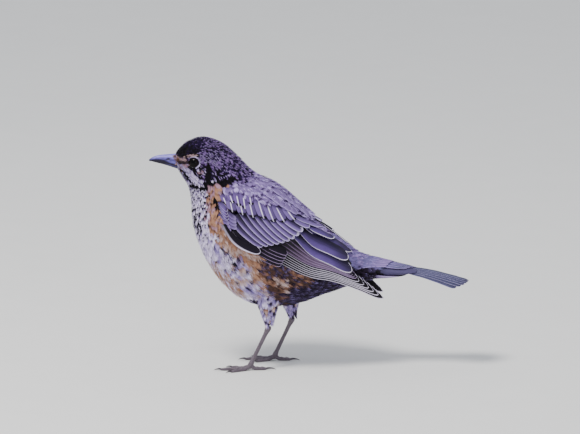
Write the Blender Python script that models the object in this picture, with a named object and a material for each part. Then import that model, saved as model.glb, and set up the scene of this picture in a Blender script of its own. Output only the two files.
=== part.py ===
"""A young American robin in its first, spotted plumage, standing still: the solid pieces of a life-size
model.

Blender 4.5, metres, +Z up. The bird faces -X and its left side is at -Y. The origin is on the floor,
under the middle of the bird's length and width. The tables below are in millimetres. The flesh is one
form, parted by section planes, and the wings, thighs and eyes sit in hollows cut in it with a small
clearance.
"""

import math

import bmesh
import bpy
from mathutils import Vector

MM = 0.001
GAP = 0.3  # clearance between neighbouring solids
AROUND = 24  # sides of the body form
STEPS = 2  # rings for each station of the body form

# Stations of the body from the bill to the rump: the back's x and z, the front's x and z, half the width,
# and how far the widest line lies towards the front (+) or the back (-).
BODY = [
    (-94.4, 152.3, -93.0, 141.6, 4.4, 0.00),
    (-90.3, 157.2, -90.9, 138.2, 7.8, 0.04),
    (-84.6, 161.6, -88.4, 134.2, 10.4, 0.06),
    (-74.0, 164.2, -85.8, 130.0, 12.8, 0.08),
    (-61.0, 159.8, -84.3, 125.0, 14.8, 0.06),
    (-50.0, 150.2, -83.4, 118.5, 17.8, 0.02),
    (-41.0, 140.6, -82.9, 109.5, 22.4, 0.00),
    (-28.5, 132.0, -81.6, 99.0, 27.0, -0.04),
    (-13.5, 121.0, -77.3, 86.0, 29.6, -0.06),
    (-1.0, 107.2, -69.0, 70.0, 30.2, -0.06),
    (11.0, 95.2, -56.5, 54.8, 28.6, -0.04),
    (22.0, 86.8, -40.0, 45.0, 25.0, 0.00),
    (30.0, 82.6, -14.0, 44.0, 19.6, 0.00),
    (37.0, 80.4, 12.0, 52.4, 14.2, 0.00),
    (42.0, 79.2, 33.0, 59.4, 11.4, 0.00),
    (46.0, 78.2, 46.0, 62.0, 10.4, 0.00),
]
# Where the flesh is parted, as places along the stations, and each part's material.
PARTED = {
    "head": (0.0, 4.7, "dark_plumage"),
    "neck": (4.7, 6.6, "dark_plumage"),
    "trunk": (6.6, 12.2, "grey_plumage"),
    "rump": (12.2, 15.0, "grey_plumage"),
}

TAIL_AROUND = 20
# The tail and its coverts: x, the top's z, the underside's z, half the width, and the fall of its edges.
TAIL = [
    (46.3, 78.1, 62.1, 10.4, 0.6),
    (53.0, 76.8, 63.0, 12.0, 2.2),
    (62.0, 74.6, 64.8, 13.4, 4.2),
    (74.0, 71.6, 68.2, 14.8, 5.0),
    (90.0, 67.6, 65.4, 16.2, 5.4),
    (102.0, 64.4, 62.4, 16.8, 5.4),
    (109.0, 62.3, 60.6, 15.6, 4.8),
    (112.0, 61.2, 59.9, 12.6, 3.2),
]

# The form that the folded wings lie on: x, its top's z, its underside's z and half its width. Its sections
# are superellipses of one power.
FORM_POWER = 2.3
WING_FORM = [
    (-66.0, 146.0, 60.0, 28.2),
    (-54.0, 143.0, 50.0, 31.0),
    (-40.0, 139.5, 45.0, 32.4),
    (-20.0, 128.2, 44.0, 32.0),
    (0.0, 110.8, 47.0, 28.6),
    (16.0, 98.4, 51.0, 24.0),
    (34.0, 83.8, 47.0, 17.4),
    (54.0, 66.0, 40.0, 12.6),
]
# The outline of a folded wing in the side view, as x and z, and the lines that part it into coverts, the
# inner flight feathers (secondaries and tertials) and the hand (primaries, their coverts and the alula).
HAND_LOW = [
    (-61, 112), (-58, 103), (-52, 96), (-46, 91), (-34, 84.5), (-22, 77.5), (-4, 69.5), (7, 65.5), (33, 55),
    (53, 50),
]
HAND_HIGH = [(-61, 113.4), (-54, 103), (-44, 97), (-34, 91.5), (-16, 83), (31, 70.5), (43, 60.5), (53, 51.6)]
COVERT_LOW = [(-61, 114.4), (-54, 103.8), (-44, 97.8), (-34, 92.4), (-22, 93.8), (-8, 101.3), (-1, 106.6)]
COVERT_HIGH = [
    (-61, 118), (-56, 124), (-48, 129.5), (-40, 131.5), (-30, 129.5), (-20, 124.5), (-8, 115.4), (-1, 110.6),
]
INNER_LOW = [(-33, 91.3), (-16, 83.9), (31, 71.4)]
INNER_HIGH = [
    (-33, 92.2), (-22, 92.9), (-8, 100.4), (-0.4, 105.8), (3, 107.8), (16, 97.9), (26, 90.2), (31, 82),
]
WING_THICK = 3.4
WING_EDGE = 0.8
WING_PITCH = 6.5  # length between two sections of a wing
TOP_ANGLE = 1.52  # the nearest that a wing's upper edge comes to the middle line, as an angle on the form

# The bill, from its base to its tip: x, the ridge's z, the line between its halves, the underside's z and
# half the width.
BILL = [
    (-94.8, 151.9, 144.2, 141.9, 3.9),
    (-98.5, 151.6, 145.2, 143.1, 3.2),
    (-102.5, 151.3, 146.1, 144.3, 2.6),
    (-106.5, 150.7, 146.8, 145.3, 2.0),
    (-109.6, 149.7, 147.2, 146.1, 1.4),
    (-111.6, 148.5, 147.3, 146.8, 0.8),
]
BILL_TIP = (-112.6, 0.0, 147.6)
LOWER_BILL_TIP = (-111.9, 0.0, 146.8)
BILL_SIDES = 12
LOWER_BILL_WIDTH = 0.88  # as a part of the upper half's

EYE_AT = (-80.4, 7.7, 147.2)
EYE_RADIUS = 4.7

# The legs: the thigh's middle line from inside the body to the ankle, then the shank to the foot, for a
# left leg that stands forward and a right one that stands back. A foot's place is its middle, where the
# toes start.
LEGS = {
    "left": {"side": -1, "hip": (-30.0, 12.5, 62.0), "ankle": (-28.5, 14.5, 31.5), "foot": (-42.0, 15.5)},
    "right": {"side": 1, "hip": (-17.0, 12.5, 62.0), "ankle": (-12.0, 14.5, 31.3), "foot": (-25.0, 15.0)},
}
# The thigh's radii along X and along Y, at even steps from the hip to the ankle.
THIGH_RADII = [(12.0, 9.0), (9.6, 7.2), (6.2, 5.0), (3.2, 2.7)]
ANKLE_ROOM = 1.2  # length between the thigh's end and the middle of the ankle
# The shank's radius at shares of its length, with a knob at the ankle and another over the toes.
SHANK = [(0.0, 1.5), (0.05, 2.2), (0.12, 1.9), (0.2, 1.45), (0.5, 1.3), (0.85, 1.4), (0.95, 1.8), (1.0, 1.5)]
SHANK_END = 3.2  # where the shank ends in the foot, above the floor
# Each toe: its heading from straight ahead, in degrees outwards, its length, its radius and its claw's
# length.
TOES = {
    "inner": (-27.0, 14.5, 1.15, 5.2),
    "middle": (3.0, 20.5, 1.25, 5.6),
    "outer": (31.0, 15.5, 1.15, 5.0),
    "hind": (184.0, 11.5, 1.35, 7.4),
}
# A toe at shares of its length: the height of its middle line and its radius, both in toe radii. It has two
# pads and ends under the claw. The root's height is the same for every toe.
ROOT_HEIGHT = 2.0
TOE_FORM = [
    (0.3, 0.72, 0.95), (0.42, 0.95, 1.08), (0.62, 0.68, 0.84), (0.74, 0.9, 1.0), (0.92, 0.68, 0.78),
    (1.0, 0.72, 0.6),
]
TOE_ROOT = [(0.0, ROOT_HEIGHT, 1.2), (0.12, ROOT_HEIGHT - 0.1, 1.15)]
# A claw in the same way, and the height of its point.
CLAW_FORM = [(0.0, 0.8, 0.52), (0.3, 1.05, 0.5), (0.62, 0.92, 0.36), (0.85, 0.62, 0.2)]
CLAW_POINT = 0.15

COLOURS = {
    "dark_plumage": ((0.09, 0.075, 0.10), 0.8),
    "grey_plumage": ((0.17, 0.15, 0.19), 0.8),
    "pale_plumage": ((0.52, 0.44, 0.40), 0.85),
    "flight_feathers": ((0.10, 0.09, 0.13), 0.6),
    "horn": ((0.09, 0.085, 0.10), 0.35),
    "eye": ((0.012, 0.008, 0.006), 0.05),
    "leg_skin": ((0.24, 0.20, 0.21), 0.55),
}


def clear_scene():
    for old in list(bpy.data.objects):
        bpy.data.objects.remove(old, do_unlink=True)


def material(name):
    colour, roughness = COLOURS[name]
    made = bpy.data.materials.get(name) or bpy.data.materials.new(name)
    made.use_nodes = True
    shader = made.node_tree.nodes["Principled BSDF"]
    shader.inputs["Base Color"].default_value = (*colour, 1.0)
    shader.inputs["Roughness"].default_value = roughness
    return made


def along(rows, place):
    """The row at a place from 0 to len(rows) - 1, on a smooth curve through all of them."""
    i = max(0, min(int(place), len(rows) - 2))
    f = place - i
    before, here = rows[max(i - 1, 0)], rows[i]
    there, after = rows[i + 1], rows[min(i + 2, len(rows) - 1)]
    return [
        b + 0.5 * f * (c - a + f * (2 * a - 5 * b + 4 * c - d + f * (3 * (b - c) + d - a)))
        for a, b, c, d in zip(before, here, there, after)
    ]


def find_x(rows, x):
    """The place of x along rows whose first numbers rise."""
    for i, (here, there) in enumerate(zip(rows, rows[1:])):
        if x <= there[0]:
            break
    return i + min(max((x - here[0]) / (there[0] - here[0]), 0.0), 1.0)


def height_at(line, x):
    """The height at x of a line of straight stretches."""
    place = find_x(line, x)
    i = min(int(place), len(line) - 2)
    return line[i][1] + (place - i) * (line[i + 1][1] - line[i][1])


def add_object(name, mesh, colour):
    """Turns a bmesh into an object of the scene, smooth and with its material."""
    data = bpy.data.meshes.new(name)
    mesh.to_mesh(data)
    mesh.free()
    data.materials.append(material(colour))
    data.shade_smooth()
    made = bpy.data.objects.new(name, data)
    bpy.context.scene.collection.objects.link(made)
    return made


def solid(name, rings, colour, tip=None, paired=False):
    """A closed solid through rings of points in mm, each ring with as many points, capped at both ends.
    With tip it closes on that point. A paired ring is a face followed by its back, and the two are split
    along the same lines."""
    mesh = bmesh.new()
    rows = [[mesh.verts.new(Vector(p) * MM) for p in ring] for ring in rings]
    count = len(rows[0])
    for low, high in zip(rows, rows[1:]):
        for i in range(count):
            j = (i + 1) % count
            if not paired:
                mesh.faces.new((low[i], low[j], high[j], high[i]))
            elif i < count // 2:
                mesh.faces.new((low[i], low[j], high[j]))
                mesh.faces.new((low[i], high[j], high[i]))
            else:
                mesh.faces.new((low[i], low[j], high[i]))
                mesh.faces.new((low[j], high[j], high[i]))
    mesh.faces.new(reversed(rows[0]))
    if tip is None:
        mesh.faces.new(rows[-1])
    else:
        end = mesh.verts.new(Vector(tip) * MM)
        for i in range(count):
            mesh.faces.new((rows[-1][i], rows[-1][(i + 1) % count], end))
    bmesh.ops.triangulate(mesh, faces=[f for f in mesh.faces if len(f.verts) > 4])
    bmesh.ops.recalc_face_normals(mesh, faces=mesh.faces)
    return add_object(name, mesh, colour)


def cutter(made):
    """Marks an object as one that only shapes others."""
    made.hide_render = True
    made.display_type = "WIRE"
    return made


def combine(target, other, operation):
    """Adds a Boolean that joins the other object to the target or takes it away."""
    step = target.modifiers.new(f"{operation.lower()}_{other.name}", "BOOLEAN")
    step.operation = operation
    step.solver = "EXACT"
    step.object = other


def body_ring(place, grow=0.0):
    """One section of the body, from the middle of the back round to it again."""
    back_x, back_z, front_x, front_z, half, low = along(BODY, place)
    middle = Vector(((back_x + front_x) / 2, 0, (back_z + front_z) / 2))
    up = Vector((back_x - front_x, 0, back_z - front_z)) / 2
    up *= 1 + grow / up.length
    ring = []
    for i in range(AROUND):
        a = 2 * math.pi * i / AROUND
        side = math.sin(a) * (1 - low * math.cos(a)) * (half + grow)
        ring.append(middle + up * math.cos(a) + Vector((0, side, 0)))
    return ring


def flesh(name, start, end, colour):
    """The length of the body between two places along its stations, parted from the next by the gap."""
    first = start
    if start > 0:
        # The back and the front are both counted in this distance, so it is the root of 2 longer than the
        # middle's.
        step = 0.1
        pitch = math.dist(along(BODY, start)[:4], along(BODY, start + step)[:4]) / (step * math.sqrt(2))
        first += GAP / pitch
    count = max(2, round((end - start) * STEPS))
    return solid(name, [body_ring(first + (end - first) * i / count) for i in range(count + 1)], colour)


def tail():
    """The closed tail with the coverts round its root, one blade whose edges fall like a low roof."""
    rings = []
    for k in range(2 * len(TAIL) - 1):
        x, top, bottom, half, fall = along(TAIL, k / 2)
        ring = []
        for i in range(TAIL_AROUND):
            a = 2 * math.pi * i / TAIL_AROUND - math.pi / 2
            side = math.sin(a)
            z = (top + bottom) / 2 + math.cos(a) * (top - bottom) / 2 - fall * side * side
            ring.append((x, side * half, z))
        rings.append(ring)
    return solid("tail", rings, "flight_feathers", paired=True)


def on_form(x, angle):
    """The point of the form under the wings at an angle from its widest line, and its outward normal."""
    _, top, bottom, half = along(WING_FORM, find_x(WING_FORM, x))
    ends = []
    for a in (angle - 0.02, angle + 0.02):
        rise = math.copysign(abs(math.sin(a)) ** (2 / FORM_POWER), a)
        z = (top + bottom + (top - bottom) * rise) / 2
        ends.append(Vector((x, half * math.cos(a) ** (2 / FORM_POWER), z)))
    up = (ends[1] - ends[0]).normalized()
    return (ends[0] + ends[1]) / 2, Vector((0, up.z, -up.y))


def form_angle(x, z):
    """The angle of a height on the form."""
    _, top, bottom, _ = along(WING_FORM, find_x(WING_FORM, x))
    rise = max(-1.0, min(1.0, (2 * z - top - bottom) / (top - bottom)))
    angle = math.asin(abs(rise) ** (FORM_POWER / 2))
    return math.copysign(min(angle, TOP_ANGLE - 0.02), rise)


def wing_panel(name, side, low, high, colour, across, grow=0.0):
    """A part of a folded wing: a shell between two lines of the side view, whose outer face lies on the
    wings' form and whose thickness falls off at its edges."""
    start, end = max(low[0][0], high[0][0]), min(low[-1][0], high[-1][0])
    count = round((end - start) / WING_PITCH)
    start, end = start - grow, end + grow
    rings = []
    for k in range(count + 1):
        x = start + (end - start) * k / count
        first, last = form_angle(x, height_at(low, x)), form_angle(x, height_at(high, x))
        width = max(1.0, (on_form(x, last)[0] - on_form(x, first)[0]).length)
        spare = grow / width * (last - first)
        first, last = first - spare, min(last + spare, TOP_ANGLE)
        # The shell reaches its full thickness a quarter of its length from the front and a third from the
        # rear.
        ends = min(1.0, 4 * (k + 0.25) / count, 3 * (count - k + 0.2) / count)
        outer, inner = [], []
        for i in range(across + 1):
            share = i / across
            full = math.sqrt(max(0.0, 1 - abs(2 * share - 1) ** 3)) * ends
            thick = WING_EDGE + (WING_THICK - WING_EDGE) * full
            face, outward = on_form(x, first + (last - first) * share)
            outer.append(face + outward * grow)
            inner.append(face - outward * (thick + grow))
        rings.append([(p.x, side * p.y, p.z) for p in outer + inner[::-1]])
    return solid(name, rings, colour, paired=True)


def wing(side, name):
    """The three parts of one folded wing, and what they take from the body: the same, a gap wider all
    round."""
    parts = [
        (f"{name}_wing_coverts", side, COVERT_LOW, COVERT_HIGH, "grey_plumage", 7),
        (f"{name}_wing_secondaries", side, INNER_LOW, INNER_HIGH, "flight_feathers", 7),
        (f"{name}_wing_primaries", side, HAND_LOW, HAND_HIGH, "flight_feathers", 5),
    ]
    for part in parts:
        wing_panel(*part)
    return [cutter(wing_panel(part[0] + "_hollow", *part[1:], grow=GAP)) for part in parts]


def bill():
    """The two halves of the bill, which meet along the gape line."""
    turns = [math.pi * i / BILL_SIDES for i in range(BILL_SIDES + 1)]
    upper, lower = [], []
    for x, ridge, line, bottom, half in BILL:
        above, below = line + GAP / 2, line - GAP / 2
        rise, fall, narrow = ridge - above, below - bottom, half * LOWER_BILL_WIDTH
        upper.append([(x, half * math.cos(a), above + rise * math.sin(a) ** 0.85) for a in turns])
        lower.append([(x, -narrow * math.cos(a), below - fall * math.sin(a) ** 0.8) for a in turns])
    solid("upper_bill", upper, "horn", tip=BILL_TIP)
    solid("lower_bill", lower, "horn", tip=LOWER_BILL_TIP)


def ball(name, centre, radius, colour):
    mesh = bmesh.new()
    bmesh.ops.create_uvsphere(mesh, u_segments=16, v_segments=9, radius=radius * MM)
    bmesh.ops.translate(mesh, vec=Vector(centre) * MM, verts=mesh.verts)
    return add_object(name, mesh, colour)


def limb(name, path, radii, colour, sides=12, tip=None, floor=None):
    """A tapering round piece along a path that never runs along Y. Each radius is one number, or one in the
    side view and one along Y. With floor, what would lie lower is pressed flat at that height."""
    rings = []
    for i, (centre, radius) in enumerate(zip(path, radii)):
        ahead = (path[min(i + 1, len(path) - 1)] - path[max(i - 1, 0)]).normalized()
        across = Vector((0, 1, 0)).cross(ahead).normalized()
        wide = ahead.cross(across)
        fore, beside = radius if isinstance(radius, tuple) else (radius, radius)
        ring = []
        for k in range(sides):
            a = 2 * math.pi * (k + 0.5) / sides
            p = centre + across * math.cos(a) * fore + wide * math.sin(a) * beside
            if floor is not None:
                p.z = max(p.z, floor)
            ring.append(p)
        rings.append(ring)
    return solid(name, rings, colour, tip=tip)


def joint(leg, place):
    """A place on a leg, on the leg's own side of the bird."""
    x, y, z = leg[place]
    return Vector((x, y * leg["side"], z))


def thigh(name, leg, grow=0.0):
    hip, ankle = joint(leg, "hip"), joint(leg, "ankle")
    ankle += (hip - ankle).normalized() * (ANKLE_ROOM - grow)
    last = len(THIGH_RADII) - 1
    places = [i / 2 for i in range(last * 2 + 1)]
    radii = [tuple(r + grow for r in along(THIGH_RADII, place)) for place in places]
    return limb(name, [hip.lerp(ankle, place / last) for place in places], radii, "pale_plumage", sides=16)


def shank(name, leg, grow=0.0):
    """The bare lower leg. Grown, it also ends deeper in the foot."""
    ankle = joint(leg, "ankle")
    x, y = leg["foot"]
    end = Vector((x, y * leg["side"], SHANK_END))
    end += (end - ankle).normalized() * grow
    path = [ankle.lerp(end, share) for share, _ in SHANK]
    return limb(name, path, [radius + grow for _, radius in SHANK], "leg_skin")


def along_toe(leg, heading, start, length, share, height):
    """A point over or in a toe, counted from the foot's middle."""
    turn = math.radians(heading)
    reach = start + length * share
    x, y = leg["foot"]
    return Vector((x - math.cos(turn) * reach, leg["side"] * (y + math.sin(turn) * reach), height))


def foot(name, leg):
    """The four toes in one piece round the foot's middle, flat where they meet the floor, and their claws."""
    whole = None
    for toe, (heading, length, radius, claw) in TOES.items():
        form = TOE_ROOT + [(share, height * radius, thick) for share, height, thick in TOE_FORM]
        path = [along_toe(leg, heading, 0.0, length, share, height) for share, height, _ in form]
        radii = [radius * thick for _, _, thick in form]
        piece_name = f"{name}_toe_{toe}" if whole else f"{name}_foot"
        piece = limb(piece_name, path, radii, "leg_skin", sides=8, floor=0.0)
        if whole:
            combine(whole, cutter(piece), "UNION")
        else:
            whole = piece
        start = length + GAP
        path = [along_toe(leg, heading, start, claw, share, high * radius) for share, high, _ in CLAW_FORM]
        radii = [radius * thick for _, _, thick in CLAW_FORM]
        point = along_toe(leg, heading, start, claw, 1.0, CLAW_POINT)
        limb(f"{name}_claw_{toe}", path, radii, "horn", sides=8, tip=point)
    combine(whole, cutter(shank(f"{name}_foot_socket", leg, grow=GAP)), "DIFFERENCE")


def build():
    clear_scene()
    flesh_of = {part: flesh(part, start, end, colour) for part, (start, end, colour) in PARTED.items()}
    tail()
    bill()
    for name, leg in LEGS.items():
        side = leg["side"]
        coverts, inner, hand = wing(side, name)
        for part, taken in (("neck", (coverts, hand)), ("trunk", (coverts, inner, hand)), ("rump", (hand,))):
            for hollow in taken:
                combine(flesh_of[part], hollow, "DIFFERENCE")
        thigh(f"{name}_thigh", leg)
        combine(flesh_of["trunk"], cutter(thigh(f"{name}_thigh_socket", leg, grow=GAP)), "DIFFERENCE")
        shank(f"{name}_shank", leg)
        foot(name, leg)
        centre = (EYE_AT[0], side * EYE_AT[1], EYE_AT[2])
        ball(f"{name}_eye", centre, EYE_RADIUS, "eye")
        orbit = ball(f"{name}_orbit", centre, EYE_RADIUS + GAP, "eye")
        combine(flesh_of["head"], cutter(orbit), "DIFFERENCE")


build()
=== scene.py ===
"""A young American robin in its first, spotted plumage: its skin, feathers, bill, eyes, legs and stage.

The tables are in millimetres. The bird faces -X and its left side is at -Y. Every surface that carries
feathers is a chart: a function that turns a length along the lie of the feathers and a place across it
into points. Feathers are laid on charts as thin meshes, rising from the skin to the outside of the coat.
"""

import functools
import math

import bmesh
import bpy
import numpy as np
from bpy.props import FloatProperty, FloatVectorProperty, IntProperty, PointerProperty
from mathutils.kdtree import KDTree
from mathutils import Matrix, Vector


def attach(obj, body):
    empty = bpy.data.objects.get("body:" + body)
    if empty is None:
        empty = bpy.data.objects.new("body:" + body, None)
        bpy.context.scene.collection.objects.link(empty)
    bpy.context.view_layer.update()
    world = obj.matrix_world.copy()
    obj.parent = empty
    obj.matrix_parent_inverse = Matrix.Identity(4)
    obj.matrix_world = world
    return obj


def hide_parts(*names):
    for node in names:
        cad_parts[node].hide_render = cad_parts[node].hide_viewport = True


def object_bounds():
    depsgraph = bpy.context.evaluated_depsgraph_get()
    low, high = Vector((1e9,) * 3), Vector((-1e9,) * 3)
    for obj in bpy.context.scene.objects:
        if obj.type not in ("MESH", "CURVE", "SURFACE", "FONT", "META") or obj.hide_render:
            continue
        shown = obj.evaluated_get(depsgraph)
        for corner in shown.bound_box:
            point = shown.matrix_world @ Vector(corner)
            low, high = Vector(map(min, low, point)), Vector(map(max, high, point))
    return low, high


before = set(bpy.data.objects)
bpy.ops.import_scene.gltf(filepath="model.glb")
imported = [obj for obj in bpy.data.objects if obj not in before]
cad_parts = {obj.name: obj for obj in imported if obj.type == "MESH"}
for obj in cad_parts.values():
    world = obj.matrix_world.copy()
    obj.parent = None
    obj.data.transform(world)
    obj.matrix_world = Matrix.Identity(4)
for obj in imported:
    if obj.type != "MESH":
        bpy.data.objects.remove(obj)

FRAME_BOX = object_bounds()

bl_info = {
    "name": "Young American Robin",
    "version": (1, 0, 0),
    "blender": (4, 5, 0),
    "location": "3D View > Sidebar > Robin",
    "description": "Dresses a robin's frame in skin, feathers, bill, eyes and feet",
    "category": "Object",
}

MM = 0.001
SIDES = {"left": -1, "right": 1}  # the side along Y
AIM = (-0.014, 0.0, 0.1066)  # where the camera looks, in m
NUDGE = 0.004  # half the step over which a chart's slope is taken
WIDE_NUDGE = 0.05  # the same on the charts in mm

# ---- Forms ----

# Stations of the body from the bill to the tail: the back's x and z, the front's x and z, half the width,
# and how far the widest line lies towards the front (+) or the back (-). The last four carry the coverts
# of the tail.
BODY = np.array([
    (-94.4, 152.3, -93, 141.6, 4.4, 0),
    (-90.3, 157.2, -90.9, 138.2, 7.8, 0.04),
    (-84.6, 161.6, -88.4, 134.2, 10.4, 0.06),
    (-74, 164.2, -85.8, 130, 12.8, 0.08),
    (-61, 159.8, -84.3, 125, 14.8, 0.06),
    (-50, 150.2, -83.4, 118.5, 17.8, 0.02),
    (-41, 140.6, -82.9, 109.5, 22.4, 0),
    (-28.5, 132, -81.6, 99, 27, -0.04),
    (-13.5, 121, -77.3, 86, 29.6, -0.06),
    (-1, 107.2, -69, 70, 30.2, -0.06),
    (11, 95.2, -56.5, 54.8, 28.6, -0.04),
    (22, 86.8, -40, 45, 25, 0),
    (30, 82.6, -14, 44, 19.6, 0),
    (37, 80.4, 12, 52.4, 14.2, 0),
    (42, 79.2, 33, 59.4, 11.4, 0),
    (46, 78.2, 46, 62, 10.4, 0),
    (54, 76.2, 54, 62.8, 11.4, 0.08),
    (63, 74, 63, 64.2, 12.2, 0.16),
    (72, 71.8, 72, 66.2, 12.4, 0.24),
    (80, 70, 80, 67.4, 11.6, 0.30),
])
HEAD_END, NECK_END, BREAST_END, TRUNK_END, COAT_END, BODY_END = 4.7, 6.6, 9, 12.2, 14.4, 18.4
# Swellings and hollows of the coat: place, angle from the back, reach along, reach round and height.
SWELLS = [
    (4, 1.78, 0.85, 0.34, 0.9),
    (2.8, 1.64, 0.52, 0.28, -1.15),
    (2.6, 1.2, 0.8, 0.16, 0.5),
    (1.5, 1.6, 0.6, 0.24, -0.35),
    (2.9, 2.3, 0.8, 0.3, 0.5),
    (7.2, 2, 1.3, 0.4, 0.9),
    (9.6, 2.5, 1.2, 0.4, 0.8),
    (8.2, 0, 2.4, 0.22, 0.9),
    (10.9, 0, 1.5, 0.6, 4),
    (11.6, 1, 1.7, 0.42, 4),
]

FLUFF, FLUFF_REACH = 2.1, 4.2  # how far the feathers fluff up at the wing's leading edge

# The form that the folded wings lie on: x, its top's z, its underside's z and half its width.
FORM_POWER = 2.3
WING_FORM = np.array([
    (-66, 146, 60, 28.2),
    (-54, 143, 50, 31),
    (-40, 139.5, 45, 32.4),
    (-20, 128.2, 44, 32),
    (0, 110.8, 47, 28.6),
    (16, 98.4, 51, 24),
    (34, 83.8, 47, 17.4),
    (54, 66, 40, 12.6),
])
WING_DEPTH = 3.3
LINING = (-2.9, -3.35)  # the heights of the lining's outer and inner faces
# The folded wing's outline in the side view, as x and z: its leading edge down to the tip, then the edge
# along the back.
WING_FRONT = [(-61, 118), (-61, 112), (-58, 103), (-52, 96), (-46, 91), (-34, 84.5), (-22, 77.5), (-4, 69.5)]
WING_LOW = [(7, 65.5), (33, 55), (53, 50)]
WING_BACK = [
    (53, 51.6), (43, 60.5), (31, 70.5), (31, 82), (26, 90.2), (16, 97.9), (3, 107.8), (-8, 115.4),
    (-20, 124.5), (-30, 129.5), (-40, 131.5), (-48, 129.5), (-56, 124),
]

# The tail: x, the top's z, the underside's z, half the width, and the fall of its edges.
TAIL = np.array([
    (46.3, 78.1, 62.1, 10.4, 0.6),
    (53, 76.8, 63, 12, 2.2),
    (62, 74.6, 64.8, 13.4, 4.2),
    (74, 71.6, 68.2, 14.8, 5),
    (90, 67.6, 65.4, 16.2, 5.4),
    (102, 64.4, 62.4, 16.8, 5.4),
    (109, 62.3, 60.6, 15.6, 4.8),
    (112, 61.2, 59.9, 12.6, 3.2),
])

# The bill: x, the ridge's z, the line between its halves, the underside's z and half the width.
BILL = np.array([
    (-92.6, 151.9, 143.6, 141.2, 4.2),
    (-94.8, 151.9, 144.2, 141.9, 3.9),
    (-98.5, 151.6, 145.2, 143.1, 3.2),
    (-102.5, 151.3, 146.1, 144.3, 2.6),
    (-106.5, 150.7, 146.8, 145.3, 2),
    (-109.6, 149.7, 147.2, 146.1, 1.4),
    (-111.6, 148.5, 147.3, 146.8, 0.8),
    (-112.6, 147.8, 147.4, 147.2, 0.25),
])
BILL_BASE = -92.6
# The nostril's x and z, its reach along and across, its depth and how much it climbs for each mm ahead.
NOSTRIL, NOSTRIL_REACH, NOSTRIL_DEPTH, NOSTRIL_TILT = (-99.2, 148.5), (1.267731, 0.523995), 0.75, 0.1

EYE_AT = (-80.4, 7.7, 147.2)
EYE_AXIS = (-0.26, 0.95, 0.15)
CORNEA = 0.22  # how far the cornea bulges
# The lids' edge over the eyeball, the swell of their rim and its width, where the rim passes into the face,
# and how far from the eye the skin is refined.
LID_EDGE, LID_SWELL, LID_WIDTH, LID_END, LID_AREA = 0.12, 0.26, 0.8, (0.55, 2.3), 6.4

LEGS = {
    "left": {"hip": (-30, 12.5, 62), "ankle": (-28.5, 14.5, 31.5), "foot": (-42, 15.5)},
    "right": {"hip": (-17, 12.5, 62), "ankle": (-12, 14.5, 31.3), "foot": (-25, 15)},
}
# The thigh's radii along X and along Y, at even steps from the hip to the ankle.
THIGH_RADII = np.array([(12, 9), (9.6, 7.2), (6.2, 5), (3.2, 2.7)])
# The shank's radius at shares of its length.
SHANK = np.array([
    (0, 1.5), (0.05, 2.2), (0.12, 1.9), (0.2, 1.45), (0.5, 1.3), (0.85, 1.4), (0.95, 1.8), (1, 1.5),
])
SHANK_END = 3.2
SCUTES, SCUTE_HEIGHT = 15, 0.14
TOE_SCALE = 1.7  # the length of a toe's scales
FOOT_VOXEL = 0.32 * MM
CLAW_WIDTH = 0.72
# Each toe: its heading outwards from straight ahead in degrees, its length, radius and claw's length.
TOES = {
    "inner": (-27, 14.5, 1.15, 5.2),
    "middle": (3, 20.5, 1.25, 5.6),
    "outer": (31, 15.5, 1.15, 5),
    "hind": (184, 11.5, 1.35, 7.4),
}
# A toe at shares of its length: the height of its middle line and its radius, both in toe radii.
TOE_FORM = np.array([
    (0, 2, 1.2), (0.12, 1.9, 1.15), (0.3, 0.95, 0.95), (0.42, 0.98, 1.08), (0.62, 0.8, 0.84),
    (0.74, 0.94, 1), (0.92, 0.72, 0.78), (1, 0.72, 0.6),
])
# A claw in the same way, which is narrower than it is high.
CLAW_FORM = np.array([
    (0, 0.8, 0.56), (0.3, 1.05, 0.52), (0.62, 0.92, 0.36), (0.85, 0.62, 0.2), (1, 0.2, 0.04),
])

# ---- Markings ----


def shade(red, green, blue):
    """A display colour from 0 to 255 as the linear colour that a shader takes."""
    parts = [c / 255 for c in (red, green, blue)]
    return tuple(c / 12.92 if c <= 0.04045 else ((c + 0.055) / 1.055) ** 2.4 for c in parts)


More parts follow.
